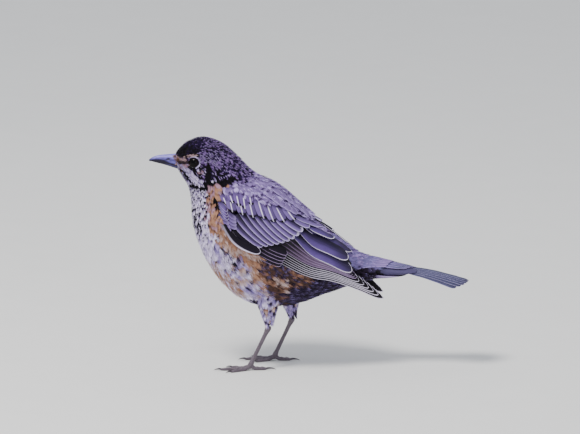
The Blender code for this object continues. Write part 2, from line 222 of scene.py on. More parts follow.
# Kinds of small feather: the ground, the tip, the share of the length where the tip starts and over which
# it fades in, and a shaft streak's half width and start.
KINDS = {
    "crown": ("crown", "crown_edge", 0.6, 0.3),
    "crown_dark": ("black", "crown", 0.6, 0.3),
    "fleck": ("crown", "cheek_tip", 0.45, 0.35),
    "fleck_streak": ("crown", "crown_edge", 0.5, 0.4, 0.12, 0.35),
    "cheek": ("cheek", "cheek_tip", 0.6, 0.35),
    "ear": ("black", "ear", 0.5, 0.4),
    "ear_streak": ("black", "ear", 0.5, 0.4, 0.1, 0.25),
    "black": ("black", "black", 0.6, 0.3),
    "pearl": ("pearl", "white", 0.45, 0.35),
    "white": ("pearl", "white", 0.35, 0.3),
    "spotted": ("white", "black", 0.4, 0.1),
    "barred": ("white", "black", 0.62, 0.08),
    "buff": ("buff", "buff_tip", 0.5, 0.3),
    "lores": ("umber", "cheek", 0.6, 0.3),
    "cheek_streak": ("crown", "cheek", 0.5, 0.35, 0.16, 0.3),
    "umber": ("umber", "rust", 0.5, 0.4),
    "rust": ("rust", "orange", 0.3, 0.5),
    "orange": ("orange", "orange_tip", 0.45, 0.4),
    "orange_spot": ("orange", "black", 0.45, 0.1),
    "rosy": ("rosy", "rosy_tip", 0.5, 0.3),
    "tan": ("orange", "buff_tip", 0.3, 0.5),
    "lavender": ("lavender", "lilac", 0.4, 0.4),
    "smoke": ("smoke", "lavender", 0.6, 0.4),
    # The vent's feathers, dark with black and smoke grounds, are painted shade under the rear of the body.
    "vent": ("black", "smoke", 0.4, 0.4),
    "vent_pale": ("smoke", "lavender", 0.5, 0.3),
    "mantle": ("mantle", "mantle_tip", 0.6, 0.3),
    "mantle_dark": ("mantle", "mantle_dark", 0.5, 0.14),
    "mantle_streak": ("mantle", "mantle", 0.8, 0.1, 0.22, 0.35),
    "mantle_pale": ("mantle_tip", "lilac", 0.6, 0.3),
    "rump": ("rump", "mantle", 0.6, 0.3),
    "tail_covert": ("rump", "tail", 0.5, 0.3),
    "under_tail": ("smoke", "lilac", 0.5, 0.2),
}
KIND_NUMBERS = {name: number for number, name in enumerate(KINDS)}
STREAK_COLOUR = "lilac"

# Markings in the side view: a line of points as x and z, its reach to either side, and the kinds of
# feather in it with their shares. A later marking lies over an earlier one, and all lie over the grounds.
GROUNDS = {
    "head": {"crown": 0.5, "crown_dark": 0.3, "fleck": 0.2},
    "back": {"mantle": 0.36, "mantle_pale": 0.22, "mantle_dark": 0.27, "mantle_streak": 0.15},
    "shoulder": {"rosy": 0.5, "orange": 0.2, "mantle": 0.3},
    "rump": {"rump": 0.75, "mantle": 0.25},
    "flank": {"orange": 0.55, "tan": 0.3, "rust": 0.15},
    "belly": {"white": 0.6, "lavender": 0.25, "barred": 0.15},
    # The vent's dark ground is painted shade under the rear of the body.
    "vent": {"vent": 0.6, "vent_pale": 0.1, "smoke": 0.3},
    "over_tail": {"tail_covert": 0.7, "rump": 0.3},
    # The under-tail's smoke-based ground is painted shade under the tail.
    "under_tail": {"under_tail": 0.6, "vent_pale": 0.4},
}
MARKS = [
    # The head: the dark fore-crown, the flecked nape, the streaks behind the eye and the cheek.
    ([(-90, 154), (-83, 156.4), (-72, 156)], 3.4, {"crown_dark": 0.6, "crown": 0.22, "black": 0.18}),
    # The crown's top gets more of the purple-edged crown feathers than its front: painted highlight on the top of the
    # head.
    ([(-80, 161), (-70, 161)], 3.4, {"crown": 0.66, "fleck": 0.1, "crown_dark": 0.24}),
    (
        [(-66, 157), (-56, 150), (-47, 141)], 8.5,
        {"fleck": 0.4, "fleck_streak": 0.2, "cheek": 0.14, "crown": 0.16, "crown_dark": 0.1},
    ),
    ([(-76.5, 152.4), (-64, 150)], 2.8, {"fleck_streak": 0.36, "cheek_streak": 0.3, "cheek": 0.14, "crown": 0.2}),
    ([(-73.5, 148.5), (-64, 144)], 4.2, {"cheek": 0.4, "cheek_streak": 0.3, "crown": 0.15, "ear_streak": 0.15}),
    ([(-65, 141), (-60, 137)], 3.4, {"cheek_streak": 0.35, "fleck": 0.35, "crown_dark": 0.3}),
    ([(-77, 141.5), (-73, 136)], 4.6, {"ear_streak": 0.34, "ear": 0.56, "cheek": 0.1}),
    ([(-81.5, 143.6), (-77.4, 142.4)], 1.7, {"ear": 0.6, "black": 0.4}),
    ([(-77.4, 141.4), (-73.4, 140.6)], 1.5, {"ear_streak": 0.5, "rosy": 0.3, "pearl": 0.2}),
    ([(-70.6, 145.8), (-70.4, 140), (-70.2, 134.6)], 1.7, {"black": 1}),
    ([(-69.4, 131.6), (-66.4, 134.6)], 1.9, {"white": 0.6, "pearl": 0.4}),
    # The throat: the pale chin with dark streaks, the white moustache and the black line under it.
    ([(-92, 141.6), (-88, 135)], 3.6, {"pearl": 0.4, "ear": 0.3, "ear_streak": 0.3}),
    ([(-95.6, 144.9), (-90.4, 143.6), (-84.6, 143.4)], 2.1, {"pearl": 0.45, "rosy": 0.3, "white": 0.25}),
    ([(-86.8, 144.4), (-84.6, 144)], 1.5, {"rosy": 0.55, "buff": 0.45}),
    ([(-86.4, 141.2), (-82.1, 136.4), (-77.6, 132.6)], 3, {"white": 0.78, "pearl": 0.22}),
    ([(-90.4, 141.4), (-87.8, 139.6)], 1, {"ear": 0.8, "rust": 0.2}),
    ([(-87.4, 138.6), (-84.2, 134), (-80.6, 130.8)], 0.8, {"black": 1}),
    # The lores and the pale spots round the eye.
    ([(-91.6, 147.2), (-85.6, 147.3)], 1.3, {"lores": 0.75, "ear": 0.25}),
    ([(-92.8, 150.8), (-90.6, 149.2), (-86.4, 149.6)], 0.8, {"buff": 0.85, "rosy": 0.15}),
    ([(-87.3, 151.1), (-84.6, 152.2), (-77.6, 152.5)], 0.85, {"buff": 0.5, "crown_dark": 0.4, "rosy": 0.1}),
    ([(-94.6, 150.6), (-92.6, 148.8)], 1.3, {"rust": 1}),
    # The dark collar, the speckled breast and the orange at its sides.
    ([(-78, 124), (-80, 110), (-77, 92)], 8.8, {"white": 0.4, "spotted": 0.38, "barred": 0.14, "pearl": 0.08}),
    ([(-83, 129.2), (-76, 129), (-70, 130.4)], 1.6, {"black": 0.85, "ear": 0.15}),
    ([(-70, 131), (-62, 133.6), (-53, 136.8)], 2.4, {"black": 0.75, "crown_dark": 0.25}),
    ([(-66.5, 122), (-66, 112), (-63.5, 100)], 5.6, {"orange": 0.62, "rust": 0.1, "rosy": 0.16, "orange_spot": 0.12}),
    ([(-65.4, 122.5), (-63.6, 118)], 1.8, {"black": 0.7, "orange_spot": 0.3}),
    ([(-72.4, 118), (-72, 108)], 2, {"rosy": 0.4, "spotted": 0.35, "white": 0.25}),
    ([(-69, 127.6), (-58.5, 129.2)], 3.1, {"rosy": 0.6, "orange": 0.4}),
    # The flank, the white belly and the loose feathers below it; the last three marks, in umber and smoke, are painted
    # shade under the rear of the belly.
    ([(-61, 96), (-50, 86), (-41, 78)], 6.2, {"orange": 0.5, "tan": 0.27, "rust": 0.23}),
    ([(-72, 92), (-70, 82), (-65, 74)], 8.2, {"white": 0.62, "lavender": 0.2, "barred": 0.18}),
    ([(-64, 88), (-52, 79), (-42, 73)], 2.9, {"lavender": 0.5, "white": 0.2, "spotted": 0.15, "smoke": 0.15}),
    ([(-68, 70), (-58, 61), (-50, 55)], 5.6, {"tan": 0.34, "orange": 0.32, "rust": 0.1, "white": 0.24}),
    ([(-50, 69), (-42, 61), (-34, 53)], 5.4, {"lavender": 0.4, "white": 0.28, "tan": 0.2, "smoke": 0.12}),
    ([(-31, 72), (-24, 66), (-18, 60)], 4.4, {"rust": 0.36, "umber": 0.34, "tan": 0.3}),
    ([(-29, 75), (-17, 75), (-4, 66)], 6.4, {"umber": 0.52, "smoke": 0.36, "rust": 0.12}),
    ([(-27, 62), (-20, 54)], 4.2, {"umber": 0.5, "smoke": 0.22, "rust": 0.28}),
    ([(-26, 52), (-20, 46)], 3.4, {"umber": 0.45, "smoke": 0.55}),
]
MARK_BLUR = 0.14  # how ragged the edge of a marking is, as a share of its reach


# ---- Sizes and colours that a user may change ----


def colour(name, red, green, blue, text):
    start = shade(red, green, blue)
    return FloatVectorProperty(name=name, description=text, default=start, size=3, min=0, max=1, subtype="COLOR")


def number(name, default, text, **more):
    return FloatProperty(name=name, description=text, default=default, **more)


class RobinPalette(bpy.types.PropertyGroup):
    """The colours of the plumage."""

    crown: colour("Crown", 25, 10, 45, "Crown and nape feathers")
    crown_edge: colour("Crown edge", 92, 66, 136, "Edges of the crown feathers")
    lilac: colour("Lilac", 186, 166, 216, "Pale flecks on the nape and loose feathers")
    cheek: colour("Cheek", 118, 90, 148, "Feathers behind the eye")
    cheek_tip: colour("Cheek tip", 158, 128, 192, "Tips of the cheek feathers")
    ear: colour("Ear", 21, 11, 30, "Ear coverts and lores")
    black: colour("Black", 8, 4, 12, "Spots, collar and bars")
    white: colour("White", 230, 218, 248, "Breast, moustache and eye ring")
    pearl: colour("Pearl", 166, 147, 200, "Bases of the white feathers")
    buff: colour("Buff", 178, 146, 150, "Pale feathers at the bill")
    buff_tip: colour("Buff tip", 206, 182, 180, "Tips of the buff feathers")
    # Umber on the hind flank is painted shade under the rear of the belly; on the lores it is their own colour.
    umber: colour("Umber", 56, 42, 44, "Lores and hind flank")
    rust: colour("Rust", 108, 75, 62, "Darkest feathers of the flank")
    orange: colour("Orange", 158, 114, 92, "Breast sides and flanks")
    orange_tip: colour("Orange tip", 182, 140, 114, "Tips of the orange feathers")
    rosy: colour("Rosy", 156, 118, 136, "Front of the shoulder")
    rosy_tip: colour("Rosy tip", 184, 148, 162, "Tips of the shoulder feathers")
    lavender: colour("Lavender", 136, 120, 180, "Loose belly feathers")
    # Smoke at the vent and under the tail is painted shade; at the bases of the loose feathers it is their own colour.
    smoke: colour("Smoke", 40, 29, 50, "Bases of the loose feathers and the vent")
    mantle: colour("Mantle", 130, 107, 164, "Back and shoulder feathers")
    mantle_tip: colour("Mantle tip", 174, 152, 212, "Tips of the back feathers")
    mantle_dark: colour("Mantle spot", 54, 32, 72, "Dark tips on the back")
    rump: colour("Rump", 110, 100, 152, "Rump feathers")
    covert: colour("Coverts", 114, 93, 152, "Wing coverts")
    covert_edge: colour("Covert edge", 204, 190, 236, "Edges of the coverts")
    tertial: colour("Tertials", 94, 74, 138, "Inner flight feathers")
    secondary: colour("Secondaries", 106, 84, 114, "Outer vanes of the secondaries")
    secondary_edge: colour("Secondary edge", 172, 148, 188, "Edges of the secondaries")
    flight: colour("Primaries", 10, 6, 14, "Primaries, alula and primary coverts")
    flight_edge: colour("Flight edge", 240, 230, 252, "Edges of the flight feathers")
    tail: colour("Tail", 82, 82, 116, "Tail feathers")
    tail_dark: colour("Tail shadow", 40, 34, 54, "Inner vanes of the tail feathers")


class RobinCoat(bpy.types.PropertyGroup):
    """How the small feathers lie."""

    face_spacing: number("Face spacing", 0.64, "Least distance between feathers on the face, in mm", min=0.4)
    head_spacing: number("Head spacing", 0.84, "Least distance between feathers on the head, in mm", min=0.5)
    body_spacing: number("Body spacing", 1.5, "Least distance between feathers on the body, in mm", min=1.0)
    length: number("Length", 1.0, "Length of the body's feathers as a part of the usual", min=0.3, subtype="FACTOR")
    seed: IntProperty(name="Seed", description="Start of the random numbers", default=7)


class RobinParts(bpy.types.PropertyGroup):
    """The bare parts."""

    eye_radius: number("Eye radius", 4.7 * MM, "Radius of the eyeball", unit="LENGTH")
    skin_voxel: number("Skin detail", 1.1 * MM, "Size of the skin's facets", unit="LENGTH")
    iris: colour("Iris", 20, 11, 9, "Iris")
    lid: colour("Lid", 14, 10, 14, "Margin of the eyelids")
    # The ridge colour is painted highlight and sheen on the upper side of a dark bill.
    bill_ridge_sheen: colour("Bill ridge", 126, 118, 208, "Upper side of the bill")
    bill_dark: colour("Bill", 20, 14, 26, "Gape line, nostril and lower half")
    leg: colour("Leg", 120, 108, 118, "Shanks and toes")
    leg_dark: colour("Leg joints", 74, 62, 74, "Between the scutes")
    claw: colour("Claw", 34, 28, 36, "Claws")


class RobinStage(bpy.types.PropertyGroup):
    """Floor, light and camera."""

    floor: colour("Floor", 236, 235, 232, "Floor")
    key: number("Key light", 29.0, "Power of the overhead light, in watts", min=0.0)
    fill: number("Fill light", 6.0, "Power of the light beside the camera, in watts", min=0.0)
    sky: number("Surroundings", 0.84, "Strength of the light from all round", min=0.0)
    distance: number("Distance", 5.0, "Camera distance", unit="LENGTH")
    elevation: number("Elevation", math.radians(12.0), "Camera height angle", unit="ROTATION")
    lens: number("Lens", 443.0, "Focal length in mm", min=20.0)


def palette(name):
    """A colour of the plumage."""
    return np.array(getattr(bpy.context.scene.robin_palette, name)[:])


def part_colour(name):
    """A colour of the bare parts."""
    return np.array(getattr(bpy.context.scene.robin_parts, name)[:])


def eye_radius():
    return bpy.context.scene.robin_parts.eye_radius / MM


# ---- Charts ----


def unit(vectors):
    return vectors / np.linalg.norm(vectors, axis=-1, keepdims=True)


def rows_at(table, place):
    """The rows at places from 0 to the table's last, on smooth curves through all of them."""
    last = len(table) - 1
    place = np.clip(np.asarray(place, float), 0.0, last)
    i = np.minimum(place.astype(int), last - 1)
    f = (place - i)[..., None]
    a, b = table[np.maximum(i - 1, 0)], table[i]
    c, d = table[i + 1], table[np.minimum(i + 2, last)]
    return b + 0.5 * f * (c - a + f * (2 * a - 5 * b + 4 * c - d + f * (3 * (b - c) + d - a)))


def columns_at_x(table, x):
    """The columns after the first, where the first, which rises, passes x."""
    return np.moveaxis(rows_at(table, np.interp(x, table[:, 0], np.arange(len(table))))[..., 1:], -1, 0)


def smooth(value, low, high):
    """0 below low, 1 above high and a smooth rise between."""
    share = np.clip((value - low) / (high - low), 0.0, 1.0)
    return share * share * (3 - 2 * share)


def hill(value, middle, reach):
    return np.exp(-(((value - middle) / reach) ** 2))


def line_distance(x, z, line):
    """The distance in the side view to a line of straight stretches."""
    best = np.full(np.shape(x), np.inf)
    for (x0, z0), (x1, z1) in zip(line, line[1:]):
        dx, dz = x1 - x0, z1 - z0
        t = np.clip(((x - x0) * dx + (z - z0) * dz) / (dx * dx + dz * dz), 0, 1)
        best = np.minimum(best, np.hypot(x - x0 - t * dx, z - z0 - t * dz))
    return best


def wing_cover(x, z):
    """How deep a place lies inside the folded wing's outline; less than 0 outside it."""
    outline = WING_FRONT + WING_LOW + WING_BACK + WING_FRONT[:1]
    inside = np.zeros(np.shape(x), bool)
    for (x0, z0), (x1, z1) in zip(outline, outline[1:]):
        if z0 != z1:
            inside ^= ((z0 > z) != (z1 > z)) & (x < x0 + (z - z0) * (x1 - x0) / (z1 - z0))
    far = line_distance(x, z, outline)
    return np.where(inside, far, -far)


def from_back(a):
    """The angle from the back, alike on both sides."""
    return np.abs((np.asarray(a) + math.pi) % (2 * math.pi) - math.pi)


def body_chart(s, a):
    """The outside of the coat at a place along the stations and an angle from the back, in mm."""
    row = rows_at(BODY, s)
    cos, sin, turn = np.cos(a), np.sin(a), from_back(a)
    middle, half = (row[..., :2] + row[..., 2:4]) / 2, (row[..., :2] - row[..., 2:4]) / 2
    x, z = half[..., 0] * cos, half[..., 1] * cos
    y = sin * (1 - row[..., 5] * cos) * row[..., 4]
    # The feathers fluff up round the leading edge of the wing, which is thicker than they are.
    grow = FLUFF * hill(line_distance(middle[..., 0] + x, middle[..., 1] + z, WING_FRONT), 0, FLUFF_REACH) * np.abs(sin)
    for place, angle, along, around, height in SWELLS:
        grow = grow + height * hill(s, place, along) * hill(turn, angle, around)
    size = 1 + grow / np.maximum(np.sqrt(x * x + y * y + z * z), 1.0)
    return np.stack([middle[..., 0] + x * size, y * size, middle[..., 1] + z * size], -1)


def coat_depth(s):
    """How deep the skin lies under the outside of the coat."""
    return np.interp(s, [0, 1.5, 4.0, 6.5, 15, 17, 18.5], [0.45, 0.7, 1.1, 2.1, 2.0, 1.6, 1.0])


# The table of the wings' form: x, the angles of its sections, and how far and finely arcs are tabled.
FORM_X = np.linspace(-66.0, 54.0, 121)
FORM_ANGLES = np.linspace(-1.55, 1.55, 481)
FORM_REACH, FORM_STEP = 72.0, 0.5


def form_point(x, angle):
    """The point of the wings' form at an angle from its widest line."""
    top, bottom, half = columns_at_x(WING_FORM, x)
    rise = np.sign(angle) * np.abs(np.sin(angle)) ** (2 / FORM_POWER)
    y = half * np.cos(angle) ** (2 / FORM_POWER)
    return np.stack([x + 0 * angle, y, (top + bottom + (top - bottom) * rise) / 2], -1)


def form_arcs(x):
    """The lengths round the form's sections at FORM_ANGLES, counted from the widest line."""
    ring = form_point(np.asarray(x)[..., None], FORM_ANGLES)
    steps = np.linalg.norm(np.diff(ring, axis=-2), axis=-1)
    total = np.concatenate([np.zeros(steps.shape[:-1] + (1,)), np.cumsum(steps, -1)], -1)
    return total - total[..., len(FORM_ANGLES) // 2, None]


FORM_TABLE = np.array([
    np.interp(np.arange(-FORM_REACH, FORM_REACH + FORM_STEP, FORM_STEP), arcs, FORM_ANGLES)
    for arcs in form_arcs(FORM_X)
])


def wing_chart(x, arc):
    """The right wing's outer face at x and a length round its section."""
    i = np.clip(x - FORM_X[0], 0, len(FORM_X) - 1.001)
    j = np.clip((arc + FORM_REACH) / FORM_STEP, 0, FORM_TABLE.shape[1] - 1.001)
    i0, j0 = i.astype(int), j.astype(int)
    low, high = (FORM_TABLE[k, j0] * (1 - j + j0) + FORM_TABLE[k, j0 + 1] * (j - j0) for k in (i0, i0 + 1))
    return form_point(x, low * (1 - i + i0) + high * (i - i0))


def on_wing(x, z):
    """A place of the side view on the wing's chart."""
    top, bottom, _ = columns_at_x(WING_FORM, x)
    rise = np.clip((2 * z - top - bottom) / (top - bottom), -0.999, 0.999)
    angle = math.copysign(math.asin(abs(rise) ** (FORM_POWER / 2)), rise)
    return np.array([x, np.interp(angle, FORM_ANGLES, form_arcs(float(x)))])


def tail_chart(x, y):
    """The top of the closed tail."""
    top, bottom, half, fall = columns_at_x(TAIL, x)
    side = y / half
    z = (top + bottom + (top - bottom) * (1 - side * side)) / 2 - fall * side * side
    return np.stack([x + 0 * y, y + 0 * x, z], -1)


def thigh_chart(leg):
    """The outside of a right thigh, by the share of the way from the hip to the ankle and the angle."""
    hip, ankle = (np.array(leg[end]) for end in ("hip", "ankle"))
    fore = unit(np.cross((0, 1, 0), unit(ankle - hip)))
    wide = np.cross(unit(ankle - hip), fore)

    def chart(t, turn):
        radii = rows_at(THIGH_RADII, t * (len(THIGH_RADII) - 1))
        across = fore * (np.cos(turn) * radii[..., 0])[..., None] + wide * (np.sin(turn) * radii[..., 1])[..., None]
        return hip + t[..., None] * (ankle - hip) + across

    return chart


def differences(chart, p, q, nudge):
    """How far a chart's points move over two nudges along it, and over two across it."""
    return chart(p + nudge, q) - chart(p - nudge, q), chart(p, q + nudge) - chart(p, q - nudge)


def raised(chart, p, q, height, nudge=NUDGE, flip=1):
    """Points of a chart, raised along its outward normal."""
    normal = np.cross(*differences(chart, p, q, nudge)) * flip
    normal /= np.maximum(np.linalg.norm(normal, axis=-1, keepdims=True), 1e-9)
    return chart(p, q) + normal * np.asarray(height)[..., None]


def grid(first, second):
    """Two arrays over all pairs of two lists' values."""
    return np.meshgrid(first, second, indexing="ij")


def circle(count):
    return np.linspace(0, 2 * math.pi, count, endpoint=False)


def tucked(points):
    """Presses what lies under a folded wing down to the wing's inner face."""
    x, y, z = np.moveaxis(points, -1, 0)
    cover = wing_cover(x, z)
    inset = WING_DEPTH * smooth(cover, -1.5, 2.0)
    top, bottom, half = columns_at_x(WING_FORM, x)
    middle, rise = (top + bottom) / 2, (top - bottom) / 2
    out = (np.abs(y) / (half - inset)) ** FORM_POWER + (np.abs(z - middle) / (rise - inset)) ** FORM_POWER
    shrink = np.where((cover > -1.5) & (out > 1), np.maximum(out, 1e-6) ** (-1 / FORM_POWER), 1.0)
    return np.stack([x, y * shrink, middle + (z - middle) * shrink], -1)


# ---- Meshes ----

# A mesh is a dict of its points in mm, its quads and tris, and values for each of its points by name.
FACES = {"quads": 4, "tris": 3}


def joined(parts):
    """Several meshes as one."""
    bases = np.cumsum([0] + [len(part["points"]) for part in parts])
    return {
        key: np.concatenate([part[key] + base if key in FACES else part[key] for part, base in zip(parts, bases)])
        for key in parts[0]
    }


def turned(form):
    """The same mesh with its faces turned over."""
    return {**form, **{key: form[key][:, ::-1] for key in FACES}}


def mirror(form):
    """The same mesh on the bird's other side."""
    return {**turned(form), "points": form["points"] * (1, -1, 1)}


def loft(rings, **values):
    """A mesh through closed rings of as many points."""
    rows, count = rings.shape[:2]
    low = np.arange(rows - 1)[:, None] * count
    here, beside = low + np.arange(count), low + (np.arange(count) + 1) % count
    quads = np.stack([here, beside, beside + count, here + count], -1).reshape(-1, 4)
    return {"points": rings.reshape(-1, 3), "quads": quads, "tris": np.zeros((0, 3), int), **values}


def capped(rings):
    """A closed solid through rings, with a point in the middle of each end."""
    form = loft(rings)
    rows, count = rings.shape[:2]
    start = rows * count
    i = np.arange(count)
    j, last = (i + 1) % count, start - count
    form["points"] = np.concatenate([form["points"], [rings[0].mean(0), rings[-1].mean(0)]])
    form["tris"] = np.concatenate([
        np.stack([j, i, i * 0 + start], -1), np.stack([last + i, last + j, i * 0 + start + 1], -1),
    ])
    return form


def link(name, data):
    made = bpy.data.objects.new(name, data)
    bpy.context.scene.collection.objects.link(made)
    return made


def point_values(data, name, values):
    """Stores a colour (4 numbers) or a vector (3 numbers) on each point."""
    kind, slot = ("FLOAT_COLOR", "color") if values.shape[1] == 4 else ("FLOAT_VECTOR", "vector")
    layer = data.attributes.new(name, kind, "POINT")
    layer.data.foreach_set(slot, values.astype(np.float32).ravel())


def mesh_object(name, form, uv=None):
    """An object from a mesh, with the bake's map where its points have places on it."""
    corners = np.concatenate([form[key].ravel() for key in FACES])
    lengths = np.concatenate([np.full(len(form[key]), size) for key, size in FACES.items()])
    data = bpy.data.meshes.new(name)
    data.vertices.add(len(form["points"]))
    data.vertices.foreach_set("co", (form["points"] * MM).astype(np.float32).ravel())
    data.loops.add(len(corners))
    data.loops.foreach_set("vertex_index", corners.astype(np.int32))
    data.polygons.add(len(lengths))
    data.polygons.foreach_set("loop_start", (np.cumsum(lengths) - lengths).astype(np.int32))
    data.update(calc_edges=True)
    for key, values in form.items():
        if key not in (*FACES, "points"):
            point_values(data, key, values)
    if uv is not None:
        layer = data.uv_layers.new(name="OFBake")
        layer.data.foreach_set("uv", uv[corners].astype(np.float32).ravel())
    data.validate()
    data.shade_smooth()
    return link(name, data)


def point_places(data):
    """The places of a mesh's points in mm."""
    return np.array([point.co for point in data]) / MM


def fit_piece(made, material, slot, *nodes):
    """Gives a piece its material, lets it ride on the bird, and hides the nodes it stands for. The slot is not used."""
    made.data.materials.append(material)
    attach(made, "root")
    if nodes:
        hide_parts(*nodes)


def remeshed(made, voxel, passes):
    """Melts the closed bodies of an object into one even skin."""
    melt = made.modifiers.new("one_skin", "REMESH")
    melt.mode, melt.voxel_size = "VOXEL", voxel
    soften = made.modifiers.new("soften", "SMOOTH")
    soften.factor, soften.iterations = 0.5, passes
    bpy.context.view_layer.update()
    data = bpy.data.meshes.new_from_object(made.evaluated_get(bpy.context.evaluated_depsgraph_get()))
    made.modifiers.clear()
    made.data = data
    data.shade_smooth()


def tree_of(points):
    """A tree that finds the nearest of some points."""
    tree = KDTree(len(points))
    for k, point in enumerate(points):
        tree.insert(point, k)
    tree.balance()
    return tree


# ---- Materials ----


class Tree:
    """Builds a material's nodes; every method returns the socket of its result."""

    def __init__(self, name):
        self.material = bpy.data.materials.get(name) or bpy.data.materials.new(name)
        self.material.use_nodes = True
        self.nodes, self.links = self.material.node_tree.nodes, self.material.node_tree.links
        self.nodes.clear()
        self.shader = self.nodes.new("ShaderNodeBsdfPrincipled")
        self.links.new(self.shader.outputs[0], self.nodes.new("ShaderNodeOutputMaterial").inputs[0])

    def node(self, kind, *values, **settings):
        """A new node with its settings and the values or links of its first sockets."""
        node = self.nodes.new(f"ShaderNode{kind}")
        for key, value in settings.items():
            setattr(node, key, value)
        for socket, value in zip(node.inputs, values):
            self.put(socket, value)
        return node

    def put(self, socket, value):
        if isinstance(value, bpy.types.NodeSocket):
            self.links.new(value, socket)
        else:
            socket.default_value = value

    def math(self, operation, *values):
        return self.node("Math", *values, operation=operation).outputs[0]

    def plus(self, first, second):
        return self.math("ADD", first, second)

    def times(self, *values):
        made = values[0]
        for value in values[1:]:
            made = self.math("MULTIPLY", made, value)
        return made

    def rest(self, value):
        return self.math("SUBTRACT", 1.0, value)

    def swing(self, value, gain, base):
        """base, and above or below it by gain for each 1 that value lies above or below a half."""
        return self.math("MULTIPLY_ADD", self.math("SUBTRACT", value, 0.5), gain, base)

    def mix(self, share, first, second, blend="MIX"):
        node = self.node("Mix", data_type="RGBA", blend_type=blend)
        for key, value in ((0, share), (6, first), (7, second)):
            value = (*value, 1.0) if isinstance(value, (tuple, np.ndarray)) else value
            self.put(node.inputs[key], value)
        return node.outputs[2]

    def ramp(self, value, low, high):
        """A smooth rise from 0 at low to 1 at high."""
        return self.node("MapRange", value, low, high, 0.0, 1.0, interpolation_type="SMOOTHSTEP").outputs[0]

    def attribute(self, name):
        return self.node("Attribute", attribute_name=name).outputs

    def split(self, vector):
        return self.node("SeparateXYZ", vector).outputs

    def join(self, *values):
        return self.node("CombineXYZ", *values).outputs[0]

    def place(self):
        return self.node("TexCoord").outputs["Object"]

    def noise(self, vector, scale, detail=2.0, rough=0.5):
        node = self.node("TexNoise")
        for key, value in (("Vector", vector), ("Scale", scale), ("Detail", detail), ("Roughness", rough)):
            self.put(node.inputs[key], value)
        return node.outputs[0]

    def grain(self, values, factors, detail=2.0, rough=0.5):
        """Noise over three values, each stretched by its factor."""
        scaled = [self.times(value, factor) for value, factor in zip(values, factors)]
        return self.noise(self.join(*scaled), 1.0, detail, rough)

    def bump(self, height, strength, distance):
        node = self.node("Bump")
        for key, value in (("Strength", strength), ("Distance", distance), ("Height", height)):
            self.put(node.inputs[key], value)
        self.links.new(node.outputs[0], self.shader.inputs["Normal"])

    def finish(self, base, roughness, specular, **values):
        values = {"Base Color": base, "Roughness": roughness, "Specular IOR Level": specular, **values}
        for key, value in values.items():
            self.put(self.shader.inputs[key.replace("_", " ")], value)
        return self.material


SHAFT_COLOUR = (0.012, 0.009, 0.016)


def feather_material(name, grain, lean, drag, contrast, roughness, sheen):
    """Feathers: ground and tip, rim, shaft streak, and barbs that lean back from the shaft, with each feather painted
    darker towards its root as painted shade under the feathers over it.

    grain is the barbs' pitch per mm, lean how far they run back for each mm from the shaft, drag how
    stretched they are, contrast how much lighter and darker they get.
    """
    tree = Tree(name)
    ground, tip, rim = (tree.attribute(key) for key in ("ground", "tip", "rim"))
    (side, length, chance), (share, edge, rim_width), (streak, streak_start, shaft) = (
        tree.split(tree.attribute(key)[1]) for key in ("barb", "vane", "line")
    )
    from_shaft = tree.math("ABSOLUTE", side)
    run = tree.math("SUBTRACT", length, tree.times(from_shaft, lean))
    barbs = tree.grain((side, run, chance), (grain, drag, 37.0), 3.0, 0.65)
    broad = tree.grain((side, length, chance), (0.35, 0.2, 91.0), 1.0)
    on_tip = tree.ramp(tree.swing(barbs, 0.28, share), ground[3], tree.plus(ground[3], tip[3]))
    made = tree.mix(on_tip, ground[0], tip[0])
    on_streak = tree.times(
        tree.rest(tree.ramp(from_shaft, tree.times(streak, 0.6), tree.plus(streak, 0.06))),
        tree.ramp(share, streak_start, tree.plus(streak_start, 0.1)),
        tree.math("GREATER_THAN", streak, 0.02),
        tree.rest(tree.times(on_tip, rim[3])),
    )
    made = tree.mix(on_streak, made, rim[0])
    on_shaft = tree.rest(tree.ramp(from_shaft, 0.07, 0.2))
    made = tree.mix(tree.times(on_shaft, shaft), made, SHAFT_COLOUR)
    rim_end = tree.math("MULTIPLY_ADD", rim_width, 1.35, 0.03)
    on_rim = tree.times(
        tree.rest(tree.ramp(tree.swing(barbs, 0.6, edge), tree.times(rim_width, 0.5), rim_end)),
        tree.math("GREATER_THAN", rim_width, 0.02),
        tree.math("MULTIPLY_ADD", tree.ramp(share, 0.1, 0.9), 0.45, 0.55),
    )
    made = tree.mix(on_rim, made, rim[0])
    # The barbs' and the broad grain's tone, times painted shade that darkens each feather towards its root, where the
    # feathers over it lie.
    light = tree.times(
        tree.swing(barbs, contrast, 1.0), tree.swing(broad, 0.5, 1.0),
        tree.math("MULTIPLY_ADD", tree.ramp(share, 0.0, 0.55), 0.45, 0.55),
    )
    made = tree.mix(1.0, made, tree.join(light, light, light), "MULTIPLY")
    tree.bump(tree.plus(barbs, tree.times(on_shaft, tree.times(shaft, 0.6))), 0.5, 0.00025)
    return tree.finish(made, roughness, 0.15, Sheen_Weight=sheen, Sheen_Roughness=0.4)


def plumage_material():
    return feather_material("plumage", 5.5, 0.0, 0.22, 1.35, 0.78, 0.02)


def flight_material():
    return feather_material("flight_feathers", 1.4, 0.9, 3.4, 0.8, 0.55, 0.0)


def skin_material():
    tree = Tree("skin")
    ground = tree.attribute("ground")[0]
    fold = tree.noise(tree.place(), 900.0, 3.0, 0.6)
    made = tree.mix(tree.times(fold, 0.7), ground, tree.mix(1.0, ground, (0.35, 0.33, 0.38), "MULTIPLY"))
    tree.bump(fold, 0.5, 0.0003)
    return tree.finish(made, 0.7, 0.3)


def shaded_lining_material():
    tree = Tree("wing_lining")
    grain = tree.noise(tree.place(), 1400.0, 3.0)
    tree.bump(grain, 0.4, 0.0002)
    # Near black, as painted shade in the hollow under the folded wing's feathers.
    return tree.finish(tree.mix(grain, palette("black"), palette("ear")), 0.8, 0.5)


